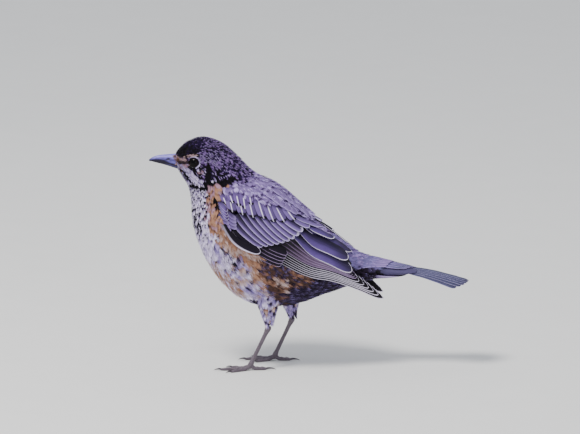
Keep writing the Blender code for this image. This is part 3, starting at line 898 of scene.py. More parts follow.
def bill_material():
    tree = Tree("bill_horn")
    ground = tree.attribute("ground")[0]
    streaks = tree.grain(tree.split(tree.place()), (260.0, 1500.0, 1900.0), 3.0, 0.6)
    made = tree.mix(tree.ramp(streaks, 0.35, 0.75), ground, tree.mix(1.0, ground, (0.5, 0.42, 0.46), "MULTIPLY"))
    tree.bump(streaks, 0.3, 0.0001)
    return tree.finish(made, 0.36, 0.28)


def eye_material():
    """A dark eye with a ring of brown iris, in mm from the axis along the eyeball."""
    tree = Tree("eye")
    out, turn, _ = tree.split(tree.attribute("iris")[1])
    rays = tree.noise(tree.join(tree.times(turn, 9.0), tree.times(out, 0.6), 0.0), 1.0, 3.0)
    ring = tree.times(tree.ramp(out, 2.05, 2.3), tree.rest(tree.ramp(out, 3.1, 3.6)), tree.ramp(rays, 0.2, 0.8))
    return tree.finish(tree.mix(ring, (0.0015, 0.001, 0.0015), part_colour("iris")), 0.03, 0.1)


def leg_material():
    tree = Tree("leg_skin")
    cells = tree.node("TexVoronoi", feature="DISTANCE_TO_EDGE")
    tree.put(cells.inputs["Vector"], tree.place())
    tree.put(cells.inputs["Scale"], 1100.0)
    seams = tree.ramp(cells.outputs[0], 0.0, 0.12)
    tone = tree.noise(tree.place(), 260.0, 3.0)
    made = tree.mix(tree.times(seams, tone), part_colour("leg_dark"), part_colour("leg"))
    tree.bump(seams, 0.5, 0.00012)
    return tree.finish(made, 0.5, 0.45)


def claw_material():
    tree = Tree("claw_horn")
    streaks = tree.grain(tree.split(tree.place()), (300.0, 1800.0, 1800.0))
    tree.bump(streaks, 0.25, 0.00008)
    return tree.finish(tree.mix(streaks, part_colour("claw"), part_colour("leg_dark")), 0.28, 0.5)


def floor_material(colour):
    tree = Tree("floor")
    grain = tree.noise(tree.place(), 30.0, 2.0)
    return tree.finish(tree.mix(tree.times(grain, 0.1), colour, (0.5, 0.5, 0.5)), 0.85, 0.2)


# ---- Small feathers ----


def fringed_tuft(strips, split, seed, fringe=0.2):
    """A feather's outer part: a sheet as far as the share split of its length, then loose barbs. Gives
    places across from -1 to 1, shares of the length, quads and triangles."""
    rng = np.random.default_rng(seed)
    v = np.linspace(-1, 1, strips + 1)
    across, along, quads, tris = [], [], [], []
    for t in (0.0, split * 0.5, split):
        across += list(v * (0.5 + 0.5 * math.sin(min(t / 0.6, 1.0) * math.pi / 2)))
        along += list(t * (1 - 0.14 * v * v))
    for k in range(2 * strips + 1):
        if k != strips:
            quads.append((k, k + 1, k + strips + 2, k + strips + 1))
    last = 2 * (strips + 1)
    for i in range(strips):
        middle = (v[i] + v[i + 1]) / 2
        end = 1.0 - 0.3 * middle**2 - fringe * rng.random()
        bend = rng.normal(0, 0.5) / strips
        half = 0.62 / strips
        k = len(across)
        across += [middle * 0.93 + bend * 0.5 - half, middle * 0.93 + bend * 0.5 + half, middle * 0.88 + bend]
        along += [split + (end - split) * share for share in (0.5, 0.5, 1.0)]
        quads.append((last + i, last + i + 1, k + 1, k))
        tris.append((k, k + 1, k + 2))
    return [np.array(values) for values in (across, along, quads, tris)]


def strand_tuft(strands, seed):
    """A loose feather: separate thin strands that spread from the root."""
    rng = np.random.default_rng(seed)
    across, along, quads, tris = [], [], [], []
    for k in range(strands):
        lie = -1 + 2 * (k + rng.random()) / strands
        reach = 1 - 0.35 * rng.random()
        sway = rng.normal(0, 0.16)
        thick = 0.06 + 0.04 * rng.random()
        base = len(across)
        for t, spread, width in ((0.0, 0.3, 1.0), (0.36, 0.6, 1.0), (0.72, 0.92, 0.75)):
            across += [lie * spread + sway * t * t + edge * thick * width for edge in (-1, 1)]
            along += [t * reach] * 2
        across.append(lie * 1.15 + sway)
        along.append(reach)
        quads += [(base, base + 1, base + 3, base + 2), (base + 2, base + 3, base + 5, base + 4)]
        tris.append((base + 4, base + 5, base + 6))
    return [np.array(values) for values in (across, along, quads, tris)]


# The sorts of small feather: those of the face and the head, plain ones and loose ones.
FACE, HEAD, PLAIN, LOOSE = range(4)
SORTS = {
    FACE: [fringed_tuft(4, 0.35, seed, 0.3) for seed in range(4)],
    HEAD: [fringed_tuft(6, 0.4, seed, 0.26) for seed in range(4)],
    PLAIN: [fringed_tuft(10, 0.5, seed) for seed in range(4)],
    LOOSE: [strand_tuft(13, seed) for seed in range(4)],
}
PROBES, SPARE = 4000, 5  # places that a chart's density is tried at, and tries for each feather
STRAYS = 0.06  # the share of the body's feathers that stray upwards


def scatter(chart, low, high, spacing, rng):
    """Roots on a chart between low and high, p and q, no nearer each other than the spacing, a table by p."""

    def density(p, q):
        along, across = (np.linalg.norm(step, axis=-1) for step in differences(chart, p, q, NUDGE))
        return along * across / (2 * NUDGE) ** 2 / np.interp(p, *spacing) ** 2

    need = density(*(rng.uniform(a, b, PROBES) for a, b in zip(low, high)))
    span = (high[0] - low[0]) * (high[1] - low[1])
    tries = int(int(need.mean() * span * SPARE) * need.max() / need.mean())
    p, q = (rng.uniform(a, b, tries) for a, b in zip(low, high))
    keep = rng.random(tries) * need.max() < density(p, q)
    p, q = p[keep], q[keep]
    point, gap = chart(p, q), np.interp(p, *spacing)
    tree = tree_of(point)
    free = np.ones(len(p), bool)
    chosen = []
    for k in range(len(p)):
        if free[k]:
            chosen.append(k)
            for _, other, _ in tree.find_range(point[k], gap[k]):
                free[other] = False
    return p[chosen], q[chosen], point[chosen]


def drawn(draw, value, count):
    """Values drawn between or round the two numbers of a pair, or those given."""
    return draw(*value, count) if isinstance(value, tuple) else np.broadcast_to(value, count)


def small_feathers(rng, p, q, length, width, turn, bend, depth, rise, camber, tone, stray=None):
    """A coat: its roots, and each feather's length, width, turn from the chart's own direction, bend, depth
    of its root, rise of its tip, camber and tone. stray is how much higher the few stray feathers rise."""
    n = len(p)
    coat = {"p": p, "q": q, "depth": np.broadcast_to(depth, n), "camber": np.full(n, camber)}
    for key, value, draw in (
        ("length", length, rng.uniform), ("width", width, rng.uniform), ("turn", turn, rng.normal),
        ("bend", bend, rng.normal), ("rise", rise, rng.uniform),
    ):
        coat[key] = drawn(draw, value, n)
    if stray is not None:
        coat["rise"] = coat["rise"] + (rng.random(n) > 1 - STRAYS) * stray
    coat["chance"] = rng.random(n)
    coat["tone"] = rng.uniform(*tone, n)
    return coat


def lay(chart, coat, shapes, flip=1, press=None):
    """Lays small feathers on a chart. Gives a mesh, with each point's root and place in its feather."""
    looks = [(*look, 0.0, 0.0)[:6] for look in KINDS.values()]
    grounds, tips = (np.array([palette(look[c]) for look in looks]) for c in (0, 1))
    streaks = np.tile(palette(STREAK_COLOUR), (len(looks), 1))
    numbers = np.array([look[2:] for look in looks])
    choice = (coat["chance"] * 7919 % 1 * len(shapes)).astype(int)
    parts = []
    for number in np.unique(choice):
        across, along, quads, tris = shapes[number]
        one = {key: values[choice == number][:, None] for key, values in coat.items()}
        p, q, length, width, turn, chance = (one[key] for key in ("p", "q", "length", "width", "turn", "chance"))
        step_p, step_q = (step / (2 * NUDGE) for step in differences(chart, p, q, NUDGE))
        scale = np.linalg.norm(step_p, axis=-1)
        skew = (step_q * (step_p / scale[..., None])).sum(-1)
        wide = np.sqrt(np.maximum((step_q**2).sum(-1) - skew**2, 1e-9))
        go, slip = along * length, across * width + one["bend"] * along**2 * length
        dq = (go * np.sin(turn) + slip * np.cos(turn)) / wide
        dp = (go * np.cos(turn) - slip * np.sin(turn) - dq * skew) / scale
        lift = along**0.7
        wave = 0.12 * np.sin(across * 9 + chance * 40) * along
        height = one["rise"] * lift - one["depth"] * (1 - lift) - one["camber"] * across**2 * width + wave
        points = raised(chart, p + dp, q + dq, height, flip=flip)
        points = press(points) if press else points
        n, k = points.shape[:2]
        kind = one["kind"][:, 0]
        start, fade, streak, streak_start = numbers[kind].T[..., None]

        def spread(*columns):
            return np.stack([np.broadcast_to(c, (n, k)) for c in columns], -1).reshape(n * k, -1)

        def colours(table, last):
            return spread(*(table[kind] * one["tone"]).T[..., None], last)

        first = np.arange(n)[:, None, None] * k
        parts.append({
            "points": points.reshape(-1, 3),
            "quads": (first + quads).reshape(-1, 4), "tris": (first + tris).reshape(-1, 3),
            "ground": colours(grounds, start), "tip": colours(tips, fade), "rim": colours(streaks, 1.0),
            "barb": spread(across * width, go, chance), "vane": spread(along, (1 - np.abs(across)) * width, 0.0),
            "line": spread(streak, streak_start, 0.0), "root": spread(p, q), "local": spread(across, along),
        })
    return joined(parts)


def chosen(coat, keep):
    return {key: values[keep] for key, values in coat.items()}


def lay_sorts(chart, coat, flip=1, press=None):
    """Lays a coat whose feathers are of several sorts."""
    return joined([
        lay(chart, chosen(coat, coat["sort"] == sort), shapes, flip, press)
        for sort, shapes in SORTS.items() if (coat["sort"] == sort).any()
    ])


MAP_START, MAP_SPAN, PATCH = 0.02, 0.955, 0.003


def coat_object(name, laid, slot):
    """One piece of coat, with each feather a small patch at its root on the unwrap of the skin."""
    root, local = laid.pop("root"), laid.pop("local")
    share = (root - root.min(0)) / np.maximum(root.max(0) - root.min(0), 1e-6)
    uv = MAP_START + MAP_SPAN * share + PATCH * (local * (0.5, 1.0) + (0.5, 0.0))
    fit_piece(mesh_object(name, laid, uv), plumage_material(), slot)


def eye_frame(side):
    """The middle of an eyeball, its axis, and the directions to the bill's side and upwards."""
    axis = unit(np.array(EYE_AXIS) * (1, side, 1))
    front = unit(np.array((-1.0, 0.0, 0.0)) + axis * axis[0])
    return np.array(EYE_AT) * (1, side, 1), axis, front, np.cross(axis, front) * side


def eye_polar(points, side):
    """Distance from the eye's axis, angle from the bill's side upwards, and height along the axis."""
    middle, axis, front, up = eye_frame(side)
    off = points - middle
    x, z = off @ front, off @ up
    return np.hypot(x, z), np.arctan2(z, x), off @ axis


def on_eye(side, along, out, turn):
    """Points round an eye by their length along its axis, their distance from it and the angle round it."""
    middle, axis, front, up = eye_frame(side)
    parts = ((axis, along), (front, out * np.cos(turn)), (up, out * np.sin(turn)))
    return middle + sum(direction * length[..., None] for direction, length in parts)


def lid_radius(angle):
    """The outline of the opening between the lids: an almond with its corner at the bill's side."""
    wide = 3.42 - 0.32 * np.sin(angle) ** 2
    return wide + 0.55 * np.maximum(np.cos(angle), 0) ** 10 + 0.22 * np.maximum(-np.cos(angle), 0) ** 8


def zone(p, turn):
    """The ground that a root on the body belongs to; a later row goes over an earlier one."""
    made = np.full(len(p), "flank", dtype="<U12")
    for name, inside in (
        ("belly", turn > 2.2), ("back", (turn < 1.2) & (p > 5.0)), ("rump", (turn < 1.15) & (p > 10.2)),
        ("vent", (turn >= 1.15) & (p > 10.9)), ("under_tail", (turn > 1.6) & (p > 15.2)),
        ("over_tail", (turn < 1.6) & (p > 15.2)), ("head", p < 5.0), ("belly", (p < 5.4) & (turn > 1.9)),
    ):
        made[inside] = name
    return made


def kinds_at(point, grounds, rng):
    """The kind of each feather, from the markings that its root lies in."""
    shares = np.zeros((len(point), len(KINDS)))
    for key, mixture in GROUNDS.items():
        shares[grounds == key] = [mixture.get(kind, 0.0) for kind in KINDS]
    for line, reach, mixture in MARKS:
        far = line_distance(point[:, 0], point[:, 2], line) / reach + MARK_BLUR * rng.standard_normal(len(point))
        shares[far < 1] = [mixture.get(kind, 0.0) for kind in KINDS]
    total = np.cumsum(shares, 1)
    return (rng.random(len(point))[:, None] * total[:, -1:] > total).sum(1).clip(0, len(KINDS) - 1)


def mixed_kinds(rng, count, mixture):
    return rng.choice([KIND_NUMBERS[kind] for kind in mixture], count, p=list(mixture.values()))


# The body's feathers at places along the stations: length, width, rise of the tip and raggedness of the lie.
LENGTHS = ([0, 1, 2.4, 4.2, 5.4, 7, 9, 12, 15, 18], [1.5, 1.9, 2.5, 3.6, 5.4, 7.6, 8.6, 9.4, 9.4, 10.0])
WIDTHS = ([0, 1, 2.4, 4.2, 5.4, 7, 12, 18], [0.3, 0.36, 0.46, 0.62, 0.95, 1.55, 1.8, 2.0])
RISES = ([0, 4, 7, 14, 16], [0.1, 0.22, 0.4, 0.35, 0.05])
RAGGED = ([0, 4, 8], [0.1, 0.16, 0.2])
SHOWN_AT = 0.7  # the share of a feather's length where its marking is taken


@functools.cache
def planned(seed, size, face, head, body):
    """Roots, sizes and kinds of all the small feathers of the body, from the coat's values."""
    rng = np.random.default_rng(seed)
    spacing = ([0, 1.2, 3.2, 4.8, 6.8, 15, 18], [face * 0.8, face, head * 0.92, head * 1.2, body, body, 2.0])
    p, q, point = scatter(body_chart, (0.02, 0.0), (COAT_END, 2 * math.pi), spacing, rng)
    keep = (wing_cover(point[:, 0], point[:, 2]) < 7.0) | (np.abs(point[:, 1]) < 6)
    for side in SIDES.values():
        for ahead, gap in ((0.0, 0.7), (0.14, 0.45)):
            far, angle, height = eye_polar(body_chart(p + ahead, q), side)
            keep &= (far > lid_radius(angle) + gap) | (height < 0)
    p, q = p[keep], q[keep]
    turn = from_back(q)
    loose = smooth(turn, 1.4, 2.1) * smooth(p, 7.2, 8.6) * smooth(-p, -13.8, -12.6)
    length = np.interp(p, *LENGTHS) * size * (1 + 0.4 * loose)
    length = length * rng.uniform(0.84, 1.16, len(p))
    step = np.linalg.norm(body_chart(p + 0.02, q) - body_chart(p - 0.02, q), axis=-1) / 0.04
    tip = p + SHOWN_AT * length / step
    shown = body_chart(np.minimum(tip, BODY_END + 0.6), q)
    x, z = shown[:, 0], shown[:, 2]
    clump = np.sin(x * 0.31 + 2.0 * np.sin(z * 0.23)) * np.sin(z * 0.37 + 1.3 * np.sin(x * 0.19 + 1))
    lie, width, rise = clump * np.interp(p, *RAGGED) * (1 + loose), np.interp(p, *WIDTHS), np.interp(p, *RISES)
    coat = small_feathers(
        rng, p, q, length, (0.85 * width, 1.15 * width), (lie, 0.12), (0, 0.05), coat_depth(p) + 0.12,
        (0.2 * rise, 1.6 * rise), 0.16, (0.84, 1.16), smooth(p, 3, 7) * smooth(-p, -14, -12) * 0.8,
    )
    coat["width"] = coat["width"] * (1 + 0.2 * loose)
    coat["kind"] = kinds_at(shown, zone(tip, turn), rng)
    is_loose = (loose > 0.3) & (rng.random(len(p)) < 0.55)
    coat["sort"] = np.select([p < 2.4, p < 5.2, is_loose], [FACE, HEAD, LOOSE], PLAIN)
    return coat, shown, turn


def plan_coat():
    sizes = bpy.context.scene.robin_coat
    return planned(sizes.seed, sizes.length, sizes.face_spacing, sizes.head_spacing, sizes.body_spacing)


def nostril_coat(name, side):
    """Short feathers that run forward over the bill's base to the nostril."""

    def chart(p, q):
        x = BILL_BASE - p
        top, line, _, half = columns_at_x(BILL[::-1], x)
        return np.stack([x, side * half * np.cos(q), line + (top - line) * np.sin(q)], -1)

    rng = np.random.default_rng(3)
    p, q, _ = scatter(chart, (-0.8, 0.12), (2.6, 1.3), ([0], [0.42]), rng)
    keep = p < 0.6 + 2.0 * hill(q, 0.85, 0.3) + rng.normal(0, 0.15, len(p))
    coat = small_feathers(
        rng, p[keep], q[keep], (1.3, 2.0), (0.28, 0.38), (0.1, 0.16), (0, 0.06), 0.15, (0.1, 0.4), 0.12, (0.85, 1.15),
    )
    coat["kind"] = mixed_kinds(rng, keep.sum(), {"rust": 0.3, "buff": 0.25, "umber": 0.45})
    coat_object(f"{name}_nostril_coat", lay(chart, coat, SORTS[FACE], side), "dark_plumage")


# The rows of an eye ring: their distance past the lids and how many feathers each has.
RING_ROWS = ((0.35, 58), (0.75, 62), (1.15, 64), (1.6, 64))


def eye_ring(name, side):
    """The ring of tiny feathers round an eye, white behind and below."""

    def chart(distance, turn):
        opening = lid_radius(turn)
        rim = np.sqrt(eye_radius() ** 2 - opening**2) + 0.3
        return on_eye(side, rim + 0.12 - 0.1 * distance - 0.06 * distance**2, opening + distance, turn)

    rng = np.random.default_rng(11)
    angle = np.concatenate([(np.arange(n) + rng.random(n)) * 2 * math.pi / n for _, n in RING_ROWS])
    past = np.concatenate([np.full(n, far) for far, n in RING_ROWS])
    degrees = np.degrees(angle)
    wide = 0.8 + 0.9 * hill(degrees, 170, 60)
    coat = small_feathers(
        rng, past, angle, (0.9, 1.3), (0.3, 0.42), (0, 0.2), 0.0, 0.1, (0.15, 0.35), 0.1, (0.9, 1.1),
    )
    coat["kind"] = np.select(
        [
            ((past > wide) & (degrees > 30)) | ((degrees > 246) & (degrees < 322)),
            (degrees < 40) | (degrees > 322), degrees < 62,
        ],
        [KIND_NUMBERS["ear"], KIND_NUMBERS["lores"], KIND_NUMBERS["pearl"]], KIND_NUMBERS["white"],
    )
    coat_object(f"{name}_eye_ring", lay(chart, coat, SORTS[FACE], side), "dark_plumage")


def thigh_coat(name, leg):
    """The feathers of a thigh, from above the hip down to the ankle."""
    rng = np.random.default_rng(5)
    chart = thigh_chart(leg)
    t, turn, _ = scatter(chart, (0.12, 0.0), (0.93, 2 * math.pi), ([0, 1], [2.2, 1.5]), rng)
    length, width, depth = (np.interp(t, [0, 1], ends) for ends in ([8.5, 4.2], [2.2, 1.2], [1.7, 0.8]))
    coat = small_feathers(
        rng, t, turn, (0.85 * length, 1.15 * length), (0.85 * width, 1.15 * width), (0, 0.15), (0, 0.06), depth,
        (0.0, 0.5), 0.15, (0.85, 1.1),
    )
    coat["kind"] = mixed_kinds(rng, len(t), {"lavender": 0.45, "white": 0.25, "smoke": 0.2, "tan": 0.1})
    coat["sort"] = np.where(rng.random(len(t)) < 0.35, LOOSE, PLAIN)
    laid = lay_sorts(chart, coat, -1)
    coat_object(f"{name}_thigh_coat", mirror(laid) if SIDES[name] < 0 else laid, "pale_plumage")


# The edge of the small shoulder feathers over the coverts, as x and z.
SHOULDER_EDGE = (
    [-63, -60, -56, -47, -40, -33, -26, -19, -9, 2], [115, 124, 126, 126, 123.5, 120.5, 118.0, 117.0, 112, 106],
)


def shoulder_coat(name):
    """The small feathers of the shoulder, which lie over the wing's front."""
    rng = np.random.default_rng(17)
    x, arc, point = scatter(wing_chart, (-66.0, 24.0), (2.0, 66.0), ([0], [1.6]), rng)
    length = rng.uniform(6.4, 8.8, len(x))
    turn = rng.normal(-0.55, 0.12, len(x)) - 0.25 * smooth(-x, 40, 60)
    shown = wing_chart(x + length * 0.92 * np.cos(turn), arc + length * 0.92 * np.sin(turn))
    high = np.interp(point[:, 0], *np.array(sorted(WING_BACK)).T) + np.interp(point[:, 0], [-60, -48], [12, 5])
    keep = shown[:, 2] > np.interp(shown[:, 0], *SHOULDER_EDGE) + rng.normal(0, 0.6, len(x))
    keep &= (point[:, 2] < high) & (shown[:, 0] > -62.5)
    shown = shown[keep]
    coat = small_feathers(
        rng, x[keep], arc[keep], length[keep], (1.4, 1.9), turn[keep], (0, 0.05), 1.4, (0.4, 0.9), 0.12, (0.86, 1.14),
    )
    in_front = shown[:, 0] + rng.normal(0, 2.5, len(shown)) < -54.5
    coat["kind"] = kinds_at(shown, np.where(in_front, "shoulder", "back"), rng)
    laid = lay(wing_chart, coat, SORTS[PLAIN], -1)
    coat_object(f"{name}_shoulder_coat", mirror(laid) if SIDES[name] < 0 else laid, "grey_plumage")


# ---- Large feathers ----


def vane(
    chart, root, tip, width, inner=None, bend=0.0, side=1, flip=1, rows=16, columns=9, heights=(-1.5, 0.0),
    shingle=0.05, camber=0.1, blunt=0.74, thick=0.12, start=0.35,
):
    """One large feather as a thin closed blade: a mesh whose points know their place across, their share of
    the length, their distance from the shaft and from the edge, and their length so far.

    side is the side of the outer vane, width and inner the widths of the outer and inner vanes, bend how
    far its middle bulges to the outer side, and heights those of its root and tip over the chart."""
    root, tip = np.asarray(root, float), np.asarray(tip, float)
    run = np.linalg.norm(tip - root)
    ahead = (tip - root) / run
    outward = np.array([ahead[1], -ahead[0]]) * side
    # Rows get closer towards the tip, and columns towards the edges.
    last = math.pi / 2 * 0.98
    across = np.sin(np.linspace(-last, last, columns)) / math.sin(last)
    t, v = grid(1 - (1 - np.linspace(0, 1, rows)) ** 1.35, across)
    past = np.clip((t - blunt) / (1 - blunt), 0, 1)
    profile = (start + (1 - start) * smooth(t, 0.0, 0.42)) * np.sqrt(np.maximum(1 - past**2.3, 0.0016))
    profile = profile * np.where(v > 0, width, width if inner is None else inner)
    across = v * profile
    tangent = unit(ahead + outward * (bend * 4 * (1 - 2 * t) / run)[..., None])
    beside = np.stack([tangent[..., 1], -tangent[..., 0]], -1) * side
    place = root + ahead * (t * run)[..., None] + outward * (bend * 4 * t * (1 - t))[..., None]
    place = place + beside * across[..., None]
    height = heights[0] + (heights[1] - heights[0]) * smooth(t, 0.0, 0.62)
    height = height + shingle * across - camber * np.minimum(v, 0) ** 2
    depth = thick * (1 - v * v) * (1 - past**4) * smooth(t, 0, 0.05)
    faces = [raised(chart, place[..., 0], place[..., 1], level, WIDE_NUDGE, flip) for level in (height, height - depth)]
    i = (np.arange(rows - 1)[:, None] * columns + np.arange(columns - 1)).ravel()
    quads = np.stack([i, i + 1, i + columns + 1, i + columns], -1)
    edge = np.minimum((1 - np.abs(v)) * profile, (1 - t) * run)
    facts = {"v": v, "t": t, "side": across, "edge": edge, "length": t * run}
    return {
        "points": np.concatenate([face.reshape(-1, 3) for face in faces]),
        "quads": np.concatenate([quads, quads[:, ::-1] + rows * columns]),
        **{key: np.tile(value.ravel(), 2) for key, value in facts.items()},
    }


def vane_values(
    made, chance, ground, tip, rim, tip_start=2.0, tip_soft=0.1, rim_width=0.5, rim_fade=0.0, rim_inner=True,
    streak=0.0, streak_start=0.0, shaft=0.5, dusk=0.5, tone=1.0, keep_streak=0.0, hollow=0.3,
):
    """The colours of one large feather. dusk is how much darker its inner vane is painted, and hollow how much its
    outer vane is painted darker towards the shaft: both are painted shade where the neighbouring feather lies over it."""
    v, t, edge = made["v"], made["t"], made["edge"]
    # The inner vane, and the outer vane near the shaft, are painted darker: painted shade under the neighbouring
    # feather.
    fade = (1 - dusk * smooth(-v, -0.3, 0.6)) * (1.12 - hollow * (1 - np.maximum(v, 0)))
    if not rim_inner:
        edge = np.where(v > -0.15, edge, np.maximum(edge, (t < 0.93) * 9.0))

    def spread(*columns):
        return np.stack([np.broadcast_to(c, len(v)) for c in columns], 1)

    return {
        "ground": spread(*(ground * tone)[:, None] * fade, tip_start), "tip": spread(*tip, tip_soft),
        "rim": spread(*rim, 1 - keep_streak), "barb": spread(made["side"], made["length"], chance),
        "vane": spread(t, edge, rim_width * (1 - rim_fade * t)), "line": spread(streak, streak_start, shaft),
    }


class Blades:
    """Gathers large feathers into one piece, each with its own cell of the bake's map."""

    def __init__(self, cells):
        self.cells, self.parts, self.uv = cells, [], []

    def add(self, made, **looks):
        """Adds a feather; a colour may be given by its name in the palette."""
        count = len(self.parts)
        looks = {key: palette(value) if isinstance(value, str) else value for key, value in looks.items()}
        form = {"points": made["points"], "quads": made["quads"], "tris": np.zeros((0, 3), int)}
        self.parts.append({**form, **vane_values(made, (count * 0.6180339887) % 1, **looks)})
        lower = np.arange(len(made["v"])) >= len(made["v"]) // 2
        place = np.stack([(made["v"] + 1) * 0.22 + 0.03 + 0.5 * lower, made["t"] * 0.92 + 0.04], 1)
        self.uv.append((place + (count % self.cells, count // self.cells % self.cells)) / self.cells)

    def build(self, name, slot, *nodes, left=False, soft=False):
        form = joined(self.parts)
        made = mesh_object(name, mirror(form) if left else form, np.concatenate(self.uv))
        weld = bmesh.new()
        weld.from_mesh(made.data)
        bmesh.ops.remove_doubles(weld, verts=weld.verts, dist=0.002 * MM)
        weld.to_mesh(made.data)
        weld.free()
        made.data.shade_smooth()
        fit_piece(made, plumage_material() if soft else flight_material(), slot, *nodes)


def on_line(line, share):
    """A point at a share of the length of a line of straight stretches."""
    line = np.array(line, float)
    steps = np.concatenate([[0], np.cumsum(np.hypot(*np.diff(line, axis=0).T))])
    return np.array([np.interp(share * steps[-1], steps, line[:, c]) for c in range(2)])


def wing_vane(root, tip, width, inner, bend, **shape):
    """A large feather on the right wing, from its root to its tip in the side view."""
    return vane(wing_chart, on_wing(*root), on_wing(*tip), width, inner, bend, flip=-1, **shape)


def fan(blades, count, roots, tips, looks, **shape):
    """A row of feathers on the wing: their roots and tips are shared out along two lines of the side view.
    A shape's or look's value may be a list of two, for the first feather and the last."""
    for k in range(count):
        share = k / (count - 1)
        here, seen = (
            {key: v[0] + (v[1] - v[0]) * share if isinstance(v, list) else v for key, v in values.items()}
            for values in (shape, looks)
        )
        blades.add(wing_vane(on_line(roots, share), on_line(tips, share), **here), **seen)


# The tertials, the lowest first: root, tip, the widths of the outer and inner vanes, bend, the tip's height,
# tone, shingle and camber.
TERTIALS = (
    ((-11, 113.0), (30.4, 85.0), 6.0, 3.0, -0.2, -1.2, 0.55, -0.06, 1.2),
    ((-13, 103), (30.2, 72.6), 5.2, 6.0, 3.4, -1.2, 1.0, 0.06, 0.3),
    ((-9, 106), (27.4, 81.8), 5.4, 5.8, 3.0, -0.4, 0.92, 0.06, 0.3),
    ((-4, 109.4), (17.4, 95.0), 4.6, 2.3, 1.6, -0.1, 0.86, 0.06, 1.2),
)
# The alula: root, tip, widths, bend, the tip's height and the rim's width. The larger has a bright edge.
ALULA = (
    ((-54, 104), (-36.5, 92.6), 2.2, 2.6, 1.6, -0.75, 0.22),
    ((-60.5, 107.5), (-34.4, 89.4), 2.8, 3.4, 4.1, 0.5, 2.3),
)
# The innermost greater coverts, over the tertials' bases: root, tip, width and bend.
INNER_COVERTS = (
    ((-14, 115.4), (8.9, 102.4), 3.6, 0.8), ((-12, 117), (3.6, 107.4), 2.8, 0.4),
    ((-12, 112.5), (0.0, 104.6), 3.4, 1.0),
)
GREATER_ROOTS = [(-56, 112), (-53, 116), (-44, 118.5), (-33, 118.5), (-22, 117.5)]
GREATER_TIPS = [
    (-33.2, 92.1), (-28.7, 92.8), (-25, 93.5), (-21.3, 94.3), (-17, 95.4), (-12.6, 96.7), (-8, 99.4), (-4.4, 102.9),
]
MEDIAN_ROOTS = [(-57, 129), (-48.6, 129), (-41.2, 128.0), (-34.6, 126), (-28, 122.5), (-22, 121.0), (-17.5, 119.6)]
MEDIAN_TIPS = [
    (-54.0, 116.2), (-46.3, 114.1), (-37.8, 112.1), (-29.8, 111.6), (-23.6, 108.6), (-17.0, 109.0), (-10.4, 109.2),
]
LESSER_ROOTS = [(-61.5, 129), (-56.6, 131.6), (-51.6, 132.6), (-47.6, 131.6), (-42.4, 130)]
LESSER_TIPS = [(-58.6, 121.8), (-54.7, 122.6), (-50.0, 120.2), (-46.2, 117.6), (-41, 121.0)]


def flight_feathers(name, left):
    """Secondaries, whose outer vanes show as fine pale lines, from the innermost down; then the tertials."""
    blades = Blades(6)
    looks = dict(
        ground="secondary", tip="black", rim="secondary_edge", rim_width=0.34, rim_inner=False,
        dusk=0.9, tip_start=0.55, tip_soft=0.6, hollow=0.7,
    )
    fan(
        blades, 6, [(-8, 100), (-22, 92.5)], [(26.0, 72.4), (33.4, 66.9)], looks,
        width=2.6, inner=5.0, bend=[1.6, 2.4], heights=(-2.9, -1.7), shingle=0.08, rows=18, blunt=0.86,
    )
    for root, tip, width, inner, bend, height, tone, shingle, camber in TERTIALS:
        made = wing_vane(
            root, tip, width, inner, bend, rows=18, heights=(-2.0, height), shingle=shingle, blunt=0.8, camber=camber,
        )
        blades.add(
            made, ground="tertial", tip="tail_dark", tip_start=0.62, tip_soft=0.5, rim="flight_edge", rim_width=0.38,
            rim_fade=-0.7, rim_inner=tone < 0.6, dusk=0.85, shaft=0.6, tone=tone, hollow=0.5,
        )
    blades.build(f"{name}_secondary_feathers", "flight_feathers", f"{name}_wing_secondaries", left=left)


def hand_feathers(name, left):
    """Primaries, their coverts, the alula and the small pale-edged feathers at the bend of the wing."""
    blades = Blades(6)
    looks = dict(tip="black", rim_inner=False)
    fan(
        blades, 6, [(-20, 89.5), (-33, 87.4)], [(35.0, 64.2), (51.8, 50.6)],
        dict(**looks, ground="flight", rim="flight_edge", rim_width=[0.46, 0.6], dusk=0.3),
        width=2.5, inner=6.0, bend=[2.0, 5.0], heights=(-2.9, -1.8), shingle=0.11, rows=20, blunt=0.84,
    )
    fan(
        blades, 5, [(-34, 95), (-44, 91)], [(-15.6, 86.8), (-20, 78.6)],
        dict(**looks, ground="ear", rim="secondary_edge", rim_width=0.3),
        width=2.0, inner=3.8, bend=[0.6, 1.6], heights=(-2.3, -1.0), shingle=0.1, rows=14, blunt=0.8, start=0.8,
    )
    for root, tip, width, inner, bend, height, rim_width in ALULA:
        made = wing_vane(
            root, tip, width, inner, bend, rows=18, heights=(height - 0.3, height), shingle=0.1, blunt=0.84, start=0.7,
        )
        blades.add(made, **looks, ground="ear", rim="white", rim_width=rim_width, rim_fade=0.86, dusk=0.2)
    looks = dict(
        ground="covert", tip="mantle_tip", tip_start=0.6, tip_soft=0.8, rim="mantle_tip",
        rim_width=[0.1, 0.2], rim_inner=False, dusk=0.4, shaft=0.2, hollow=0.6,
    )
    for roots, tips, height in (
        ([(-64, 115), (-63.4, 110), (-62, 106)], [(-57.4, 111.6), (-56.4, 107.8), (-55.4, 104.6)], -0.35),
        ([(-61, 119.5), (-60, 111.5)], [(-51.4, 111.8), (-51.0, 105.2)], -0.7),
    ):
        fan(
            blades, 4, roots, tips, looks,
            width=1.9, inner=2.2, bend=0.7, heights=(-1.2, height), shingle=0.08, rows=10, columns=7, blunt=0.55,
            start=0.8,
        )
    blades.build(f"{name}_hand_feathers", "flight_feathers", f"{name}_wing_primaries", left=left)


